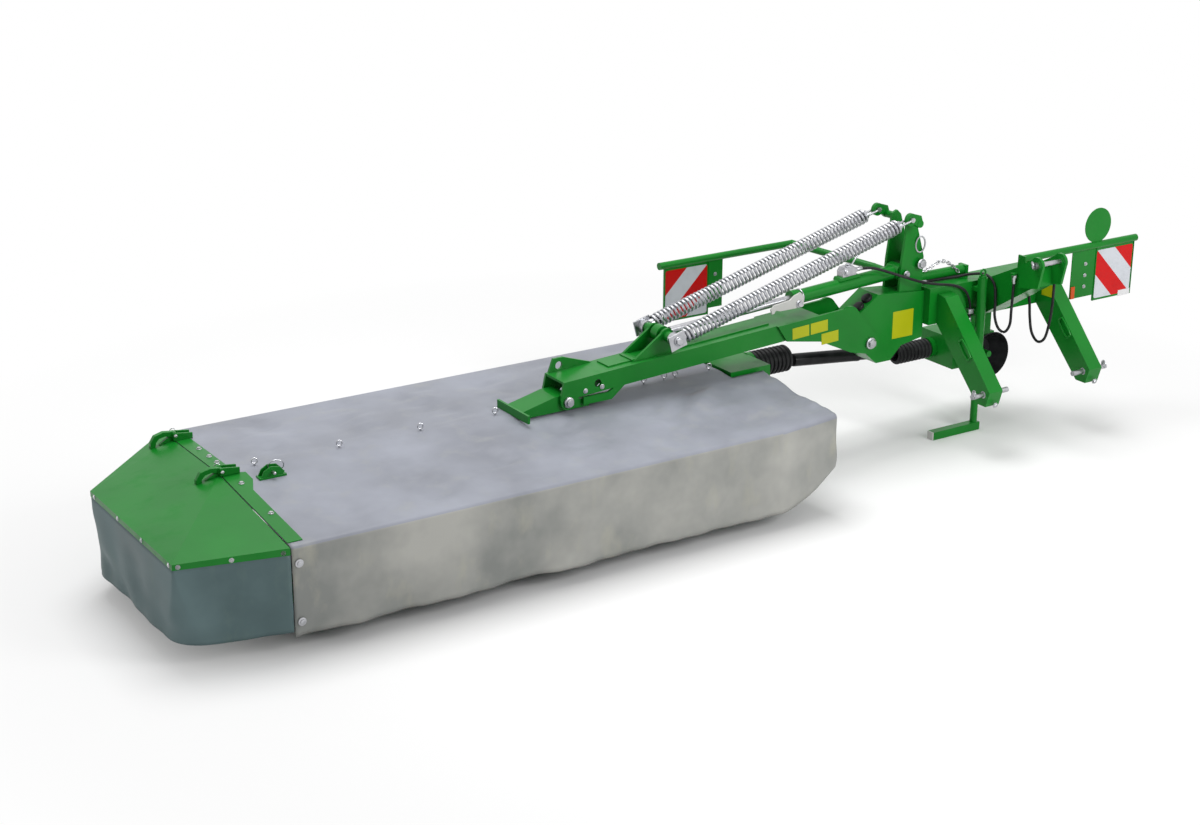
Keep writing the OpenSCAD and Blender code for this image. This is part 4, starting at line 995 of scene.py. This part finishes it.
def film(low, high, y, facing):
    """A thin panel with rounded corners: its outline is a quarter circle, turned on by a right angle each."""
    radius = 0.012
    turns = np.linspace(0, np.pi / 2, 6)
    arc = np.stack([np.cos(turns), np.sin(turns)], axis=1) * radius
    swing = np.array([[0, -1], [1, 0]])
    corners = [(high[0], high[1]), (low[0], high[1]), (low[0], low[1]), (high[0], low[1])]
    inset = [(-radius, -radius), (radius, -radius), (radius, radius), (-radius, radius)]
    arcs = [arc @ np.linalg.matrix_power(swing, k).T for k in range(4)]
    rounds = [np.array(point) + move + curve for point, move, curve in zip(corners, inset, arcs)]
    return side_plate(np.concatenate(rounds), (0, y + facing * 0.0006, 0), 0.0011)


BOARD_SIDE = 0.278
for node, lean in (("board_left", -1), ("board_right", 1)):
    low, high = size_of(node)
    start = low[0] + 0.009 if lean < 0 else high[0] - 0.009 - BOARD_SIDE
    corner = np.array([start, 0, low[2] + 0.012])
    stripes = make_stripes("stripes_" + node, corner, BOARD_SIDE, lean)
    face_low = (start, corner[2])
    face_high = (start + BOARD_SIDE, corner[2] + BOARD_SIDE)
    middle = (low[1] + high[1]) / 2
    sheets = [film(face_low, face_high, middle + s * 0.002, s) for s in (-1, 1)]
    add_piece("film_" + node, sheets, stripes, "headstock")
    print(node, "film starts at", np.round(corner, 3))

# %% Tag, reflector and hanger bolts of the boards
white_film = make_paint("white_film", (0.68, 0.68, 0.69), (0.60, 0.60, 0.61))
orange_film = make_paint("orange_film", (0.62, 0.10, 0.01), (0.50, 0.07, 0.01))
yellow_film = make_paint("yellow_film", (0.40, 0.42, 0.004), (0.35, 0.37, 0.004))
right_low, right_high = size_of("board_right")
left_low, left_high = size_of("board_left")
right_y = (right_low[1] + right_high[1]) / 2
left_y = (left_low[1] + left_high[1]) / 2
tag = boxed(
    (right_high[0] - 0.096, right_y - 0.004, right_low[2] - 0.004),
    (right_high[0] - 0.004, right_y - 0.0021, right_low[2] + 0.030),
)
add_piece("board_tag", [tag], white_film, "headstock", bevel=0.0005)
reflector = boxed(
    (right_low[0] + 0.003, right_y - 0.009, right_low[2] + 0.036),
    (right_low[0] + 0.032, right_y - 0.0021, right_low[2] + 0.106),
)
add_piece("side_reflector", [reflector], orange_film, "headstock", bevel=0.002)
hanger_bolts = []
for height in (0.095, 0.160, 0.225):
    hanger_bolts += bolt((right_low[0] + 0.105, right_y - 0.002, right_low[2] + height), (0, -1, 0), 0.0085)
    hanger_bolts += bolt((left_high[0] - 0.050, left_y - 0.002, left_low[2] + height), (0, -1, 0), 0.0085)
add_piece("hanger_bolts", hanger_bolts, zinc_steel, "headstock")
print("boards dressed")

# %% [markdown]
# ## End cover and its hinges
# The outer end of the cover folds up for transport. Its flange is screwed through the curtain, and a strip on
# the cover carries two hinges of cheeks and pins. The leaves that turn in them are bent, and serve as grips.
# All of these are flat outlines with a thickness or turned profiles, which is how the real ones are made too.

# %% Screws along the flange and the strip
END_LOW, END_HIGH = size_of("end_cover")
FLANGE_Z = END_LOW[2] + 0.013
FLANGE_START = END_HIGH[0] - 0.022
FLANGE_SCREW = 0.011


def edge_screws(start, stop, shares, side):
    """Flat screws at shares of a straight edge of the flange, square to it on one side."""
    start = np.array([*start, FLANGE_Z])
    run = np.array([*stop, FLANGE_Z]) - start
    way = unit(run)
    axis = (side * way[1], -side * way[0], 0)
    return [shape for share in shares for shape in dome(start + share * run, axis, FLANGE_SCREW)]


front_edge = ((FLANGE_START, COVER_FRONT), (END_LOW[0], END_CORNER_FRONT))
rear_edge = ((END_LOW[0], END_CORNER_REAR), (FLANGE_START, COVER_REAR))
flange_screws = edge_screws(*front_edge, (0.06, 0.50, 0.95), 1)
for y in (-0.585, -0.280, 0.0, 0.290):
    flange_screws += dome((END_LOW[0], y, FLANGE_Z), (-1, 0, 0), FLANGE_SCREW)
flange_screws += edge_screws(*rear_edge, (0.10, 0.50, 0.92), -1)
add_piece("flange_screws", flange_screws, zinc_steel, "end_cover_body")


def on_cover(x, y, lift=0.0):
    """A place on the cover's flat planes, lifted by a height."""
    slope = (RIDGE - FRONT_CURTAIN_TOP) / -COVER_FRONT if y < 0 else -(RIDGE - REAR_CURTAIN_TOP) / COVER_REAR
    return np.array([x, y, RIDGE + y * slope + lift])


STRIP_TOP = 0.0043
cover_hardware = []
for y in (0.360, 0.240, 0.150, -0.120, -0.430):
    cover_hardware += bolt(on_cover(COVER_LOW[0] + 0.048, y, STRIP_TOP), (0, 0, 1), 0.010)
for z in (0.419, 0.151):
    cover_hardware += dome((COVER_LOW[0] + 0.030, COVER_FRONT - 0.004, z), (0, -1, 0), 0.019)
for x in (-1.105, -0.685, -0.265, 0.140, 1.000, 1.124, 1.190, 1.400):
    cover_hardware += eye_bolt(on_cover(x, 0.032, -0.004), (0, 0, 1), 0.013)
ring_places = [
    (on_cover(COVER_LOW[0] + 0.018, 0.598, 0.021), (0.5, 1.0, 0.1), 0.016),
    (on_cover(COVER_LOW[0] + 0.010, 0.055, 0.019), (0.4, 1.0, 0.2), 0.015),
    (on_cover(-1.060, -0.100, 0.044), (0.2, 1.0, 0.3), 0.030),
]
for place, normal, radius in ring_places:
    cover_hardware.append(piped(ring_path(place, normal, radius, 1.2), 0.0022, 8, closed=True))
catch_pin = [(0.004, 0), (0.007, 0.002), (0.007, 0.060), (0.004, 0.062)]
cover_hardware.append(turned(catch_pin, on_cover(-1.085, -0.085, 0.024), (0, -1, 0)))
add_piece("cover_hardware", cover_hardware, zinc_steel, "mower")
print("cover hardware has", len(cover_hardware), "shapes")

# %% Hinges, and the catch beside the strip
HINGE_Z = joint_places["end_cover_fold"][2]
leaf_outline = [
    (-0.006, 0.016), (-0.052, 0.022), (-0.096, 0.010), (-0.118, -0.022), (-0.118, -0.050), (-0.094, -0.046),
    (-0.090, -0.022), (-0.074, -0.006), (-0.046, 0.000), (-0.012, -0.008),
]
cheek_outline = [(-0.010, 0.0), (0.084, -0.002), (0.084, 0.026), (0.012, 0.036), (-0.010, 0.036)]
pin_profile = [(0.004, -0.034), (0.009, -0.030), (0.009, 0.030), (0.004, 0.034)]
leaf_shapes = []
cheek_shapes = []
pin_shapes = []
for y in (0.0, 0.545):
    leaf_shapes.append(side_plate(leaf_outline, (COVER_LOW[0], y, RIDGE + 0.024), 0.024))
    pin_shapes.append(turned(pin_profile, (COVER_LOW[0], y, HINGE_Z), (0, 1, 0), 18))
    for side in (-1, 1):
        foot = on_cover(COVER_LOW[0], y, STRIP_TOP) + (0, side * 0.0205, 0)
        cheek_shapes.append(side_plate(cheek_outline, foot, 0.009))
add_piece("hinge_cheeks", cheek_shapes, green_paint, "mower", bevel=0.0015)
add_piece("hinge_pins", pin_shapes, zinc_steel, "mower")
add_piece("hinge_leaves", leaf_shapes, green_paint, "end_cover_body", bevel=0.0015)
catch_outline = [(0.0, 0.0), (0.105, 0.0), (0.118, 0.020), (0.092, 0.046), (0.050, 0.052), (0.018, 0.034)]
catch_shapes = [side_plate(catch_outline, on_cover(-1.145, y, 0.001), 0.006) for y in (-0.118, -0.088)]
catch_shapes.append(boxed(on_cover(-1.150, -0.125, -0.003), on_cover(-1.020, -0.080, 0.005)))
strip_wing = [(0.066, -0.010), (0.112, -0.020), (0.112, -0.100), (0.066, -0.205)]
wing_start = (COVER_LOW[0], 0, RIDGE + 0.001)
catch_shapes.append(plated(strip_wing, wing_start, (1, 0, 0), unit((0, 0.735, 0.079)), 0.005))
add_piece("cover_catch", catch_shapes, green_paint, "mower", bevel=0.0012)
print("hinges and catch have", len(leaf_shapes + cheek_shapes + pin_shapes + catch_shapes), "shapes")

# %% [markdown]
# ## Boom, nose and turret
# Bolts, blank stickers, plugs and a stiffening strip break up the large painted faces. A sticker could be
# painted by the material, but a thin plate laid on the CAD face is part of the mesh itself.

# %% Stickers and plugs
BOOM_FACE = size_of("boom_fork")[0][1]
TURRET_FACE = -0.105
BOOM_TILT = 3.2
STICKER_LIFT = 0.0006
STICKER_THICK = 0.0008


def sticker(x, z, width, height, y, tilt=0.0):
    """A blank sticker on a face that looks forward, turned by a tilt in degrees."""
    across = (math.cos(math.radians(tilt)), 0, math.sin(math.radians(tilt)))
    up = (-across[2], 0, across[0])
    return plated(rectangle(width, height), (x, y - STICKER_LIFT, z), across, up, STICKER_THICK)


boom_places = [(1.862, 0.741, 0.108), (1.982, 0.748, 0.112), (2.056, 0.680, 0.112)]
boom_stickers = [sticker(x, z, width, 0.060, BOOM_FACE, BOOM_TILT) for x, z, width in boom_places]
add_piece("boom_stickers", boom_stickers, yellow_film, "boom_body")
leg_far_low = size_of("leg_far")[0]
leg_place = (leg_far_low[0] - STICKER_LIFT, -0.235, 0.735)
head_stickers = [
    sticker(2.573, 0.662, 0.142, 0.150, TURRET_FACE),
    plated(rectangle(0.080, 0.068), leg_place, (0, 1, 0), (0, 0, 1), STICKER_THICK),
]
add_piece("head_stickers", head_stickers, yellow_film, "headstock")
slope_way = unit((0.140, 0, 0.098))
slope_out = np.array([-slope_way[2], 0, slope_way[0]])
plug_profile = [(0.030, -0.004), (0.030, 0.010), (0.027, 0.017), (0.016, 0.019), (0.004, 0.019)]
slope_foot = np.array([2.254, -0.062, 0.752])
plug_shapes = [turned(plug_profile, slope_foot + s * slope_way, slope_out, 26) for s in (0.058, 0.122)]
add_piece("turret_plugs", plug_shapes, black_plastic, "headstock")
print("stickers and plugs placed")

# %% Strip and bolts on the boom
boom_low = size_of("boom")[0]
MOWER_PIN = joint_places["mower_tilt"]
SWING_PIN = joint_places["boom_lift"]
STRIP_START = 0.72
STRIP_STOP = 1.70


def boom_upper(x):
    """Height of the boom's upper face: a straight line that rises by the boom's tilt from the mower pin."""
    return MOWER_PIN[2] + 0.057 + (x - MOWER_PIN[0]) * math.tan(math.radians(BOOM_TILT)) + 0.046


strip_corners = [(STRIP_START, -0.001), (STRIP_STOP, -0.001), (STRIP_STOP, 0.007), (STRIP_START, 0.007)]
strip_outline = [(x, boom_upper(x) + rise) for x, rise in strip_corners]
strip_shape = side_plate(strip_outline, (0, BOOM_MIDDLE + 0.008, 0), 0.104)
add_piece("boom_strip", [strip_shape], green_paint, "boom_body", bevel=0.002)
boom_bolts = bolt((MOWER_PIN[0], boom_low[1] - 0.008, MOWER_PIN[2]), (0, -1, 0), 0.020)
boom_bolts += bolt((SWING_PIN[0], BOOM_FACE - 0.008, SWING_PIN[2]), (0, -1, 0), 0.024)
for x in (0.560, 0.655):
    boom_bolts += bolt((x, boom_low[1], boom_upper(x) - 0.070), (0, -1, 0), 0.010)
add_piece("boom_bolts", boom_bolts, zinc_steel, "boom_body")
print("boom strip starts at height", round(boom_upper(STRIP_START), 3))

# %% [markdown]
# ## Headstock hardware
# Lock rings on the link pins, a chain on the overload strut, the stand's end cap, the bolts of the tower and
# grips on the legs finish the hitch. A ring, a link or a grip is a thin pipe on a closed path; bent curves
# would do as well, but a pipe needs no conversion to a mesh.


# %% Rings, chain, cap and tower bolts
def lock_pin(place, axis, size):
    """A short cross pin with a spring ring that folds over it."""
    pin = turned([(0.5, 0), (0.8, 0.1), (0.8, 2.6), (0.4, 2.8)] * np.array(size * 0.5), place, axis, 12)
    middle = np.asarray(place) + unit(axis) * size * 0.8
    ring = ring_path(middle, np.cross(axis, (0.2, 0.6, 0.8)), size)
    return [pin, piped(ring, size * 0.12, 8, closed=True)]


LINK_Y = -0.545
head_hardware = []
for x in (size_of("hitch_pins")[0][0] + 0.014, 3.592 + 0.064):
    head_hardware += lock_pin((x, LINK_Y, 0.352 + 0.030), (0, 0, -1), 0.022)
for x in (2.768 + 0.047, 3.498 + 0.047):
    head_hardware += bolt((x, -0.590, 0.300), (0, -1, -0.3), 0.012)
head_hardware += bolt((2.677, -0.111, 0.978), (0, -1, 0), 0.022)
head_hardware += bolt((BARREL_PIN[0], -0.107, BARREL_PIN[2]), (0, -1, 0), 0.015)
tower_ring = ring_path((2.668, -0.104, 1.085), (0.35, 1.0, 0.1), 0.026, 1.7)
head_hardware.append(piped(tower_ring, 0.0045, 10, closed=True))
head_hardware += lock_pin((3.056, LINK_Y, 1.030), (0.2, 0, -1), 0.020)
chain_route = [
    (2.742, -0.030, 0.905), (2.800, -0.035, 0.915), (2.845, -0.040, 0.940), (2.900, -0.045, 0.944),
    (2.950, -0.050, 0.915), (2.990, -0.055, 0.880),
]
chain_points = smooth_path(chain_route, 15)
chain_ways = np.gradient(chain_points, axis=0)
for index, (place, way) in enumerate(zip(chain_points, chain_ways)):
    flat = np.cross(way, (0, 1, 0) if index % 2 else (0.1, 0.2, 1))
    side = unit(np.cross(flat, way))
    way = unit(way)
    cosines, sines = circle(20)
    link = place + 0.0155 * cosines * way + 0.0085 * sines * side
    head_hardware.append(piped(link, 0.0028, 8, closed=True, helper=unit(np.cross(way, side))))
add_piece("head_hardware", head_hardware, zinc_steel, "headstock")
stand_low = size_of("stand_leg")[0]
cap = boxed((stand_low[0] - 0.008, -0.2225, 0.0005), (stand_low[0] + 0.001, -0.1775, 0.0455))
add_piece("stand_cap", [cap], pale_paint, "stand", bevel=0.003)

# %% Grips on the legs
leg_near_low = size_of("leg_near")[0]
grip_way = unit((0, -0.383, -0.428))
grip_shapes = []
for x in (leg_near_low[0], leg_far_low[0]):
    centre = np.array([x - 0.004, -0.390, 0.560])
    cosines, sines = circle(36)
    long_way = np.clip(cosines * 1.6, -1, 1) * 0.055
    oval = centre + long_way * grip_way + 0.020 * sines * np.cross(grip_way, (1, 0, 0))
    grip_shapes.append(piped(oval, 0.0055, 10, closed=True, helper=np.array([1.0, 0, 0])))
add_piece("leg_grips", grip_shapes, green_paint, "headstock")
print("headstock hardware placed")

# %% [markdown]
# ## The stage
# The photograph is a cut-out on white with a soft shadow. A floor that turns from plain paper near the
# machine to white further out does that without an edge, and soft area lamps give the gloss on the paint.

# %% Floor, world and lamps
FLOOR_SIZE = 60.0
FLOOR_CENTRE = (1.1, 0.0, 0.0)
WHITE_RAYS = ("Is Camera Ray", "Is Glossy Ray", "Is Transmission Ray")


def make_floor():
    """A flat square floor: paper near the machine, and white to the camera and to mirrors further out."""
    mesh = bpy.data.meshes.new("floor")
    corners = [(x, y, 0) for x, y in rectangle(FLOOR_SIZE, FLOOR_SIZE).tolist()]
    mesh.from_pydata(corners, [], [(0, 1, 2, 3)])
    floor = bpy.data.objects.new("floor", mesh)
    bpy.context.collection.objects.link(floor)
    finish = Finish("floor", roughness=0.8)
    finish.set(base_color=rgb(0.78, 0.78, 0.78))
    ends = {0: finish.place(), 1: FLOOR_CENTRE}
    away = finish.node("ShaderNodeVectorMath", {"operation": "DISTANCE"}, ends, "Value")
    seen, mirrored, passed = (finish.node("ShaderNodeLightPath", output=ray) for ray in WHITE_RAYS)
    white = finish.node("ShaderNodeEmission", None, {"Color": rgb(1.0, 1.0, 1.0), "Strength": 1.0})
    paper = Value(finish, finish.shader.outputs[0])
    share = finish.span(away, 2.3, 4.2, 0.0, 1.0) * finish.span(seen + mirrored + passed, 0.0, 1.0)
    mixed = finish.node("ShaderNodeMixShader", None, {0: share, 1: paper, 2: white})
    finish.feed(finish.tree.nodes["Material Output"].inputs["Surface"], mixed)
    mesh.materials.append(finish.material)
    return floor


def make_world():
    """White for the camera and for mirrors, and a plain soft fill on the object."""
    world = bpy.data.worlds.new("studio")
    bpy.context.scene.world = world
    world.use_nodes = True
    tree = world.node_tree
    background = tree.nodes["Background"]
    path = tree.nodes.new("ShaderNodeLightPath")
    white = path.outputs[WHITE_RAYS[0]]
    for ray in WHITE_RAYS[1:]:
        either = tree.nodes.new("ShaderNodeMath")
        either.operation = "MAXIMUM"
        tree.links.new(white, either.inputs[0])
        tree.links.new(path.outputs[ray], either.inputs[1])
        white = either.outputs[0]
    strength = tree.nodes.new("ShaderNodeMapRange")
    strength.inputs[3].default_value = 0.50
    strength.inputs[4].default_value = 1.0
    tree.links.new(white, strength.inputs[0])
    tree.links.new(strength.outputs[0], background.inputs["Strength"])
    background.inputs["Color"].default_value = rgb(1.0, 1.0, 1.0)


def add_lamp(name, place, target, size, power):
    """A square area lamp that looks at a target."""
    data = bpy.data.lights.new(name, "AREA")
    data.size = size
    data.energy = power
    lamp = bpy.data.objects.new(name, data)
    bpy.context.collection.objects.link(lamp)
    look = (Vector(target) - Vector(place)).to_track_quat("-Z", "Y").to_matrix().to_4x4()
    lamp.matrix_world = Matrix.Translation(Vector(place)) @ look


make_floor()
make_world()
add_lamp("key", (0.5, 1.8, 8.0), (0.9, 0.0, 0.4), 5.0, 540.0)
add_lamp("fill", (3.5, -6.0, 4.0), (1.0, 0.0, 0.5), 3.0, 270.0)
bpy.context.scene.view_settings.view_transform = "Standard"
print("stage is set")
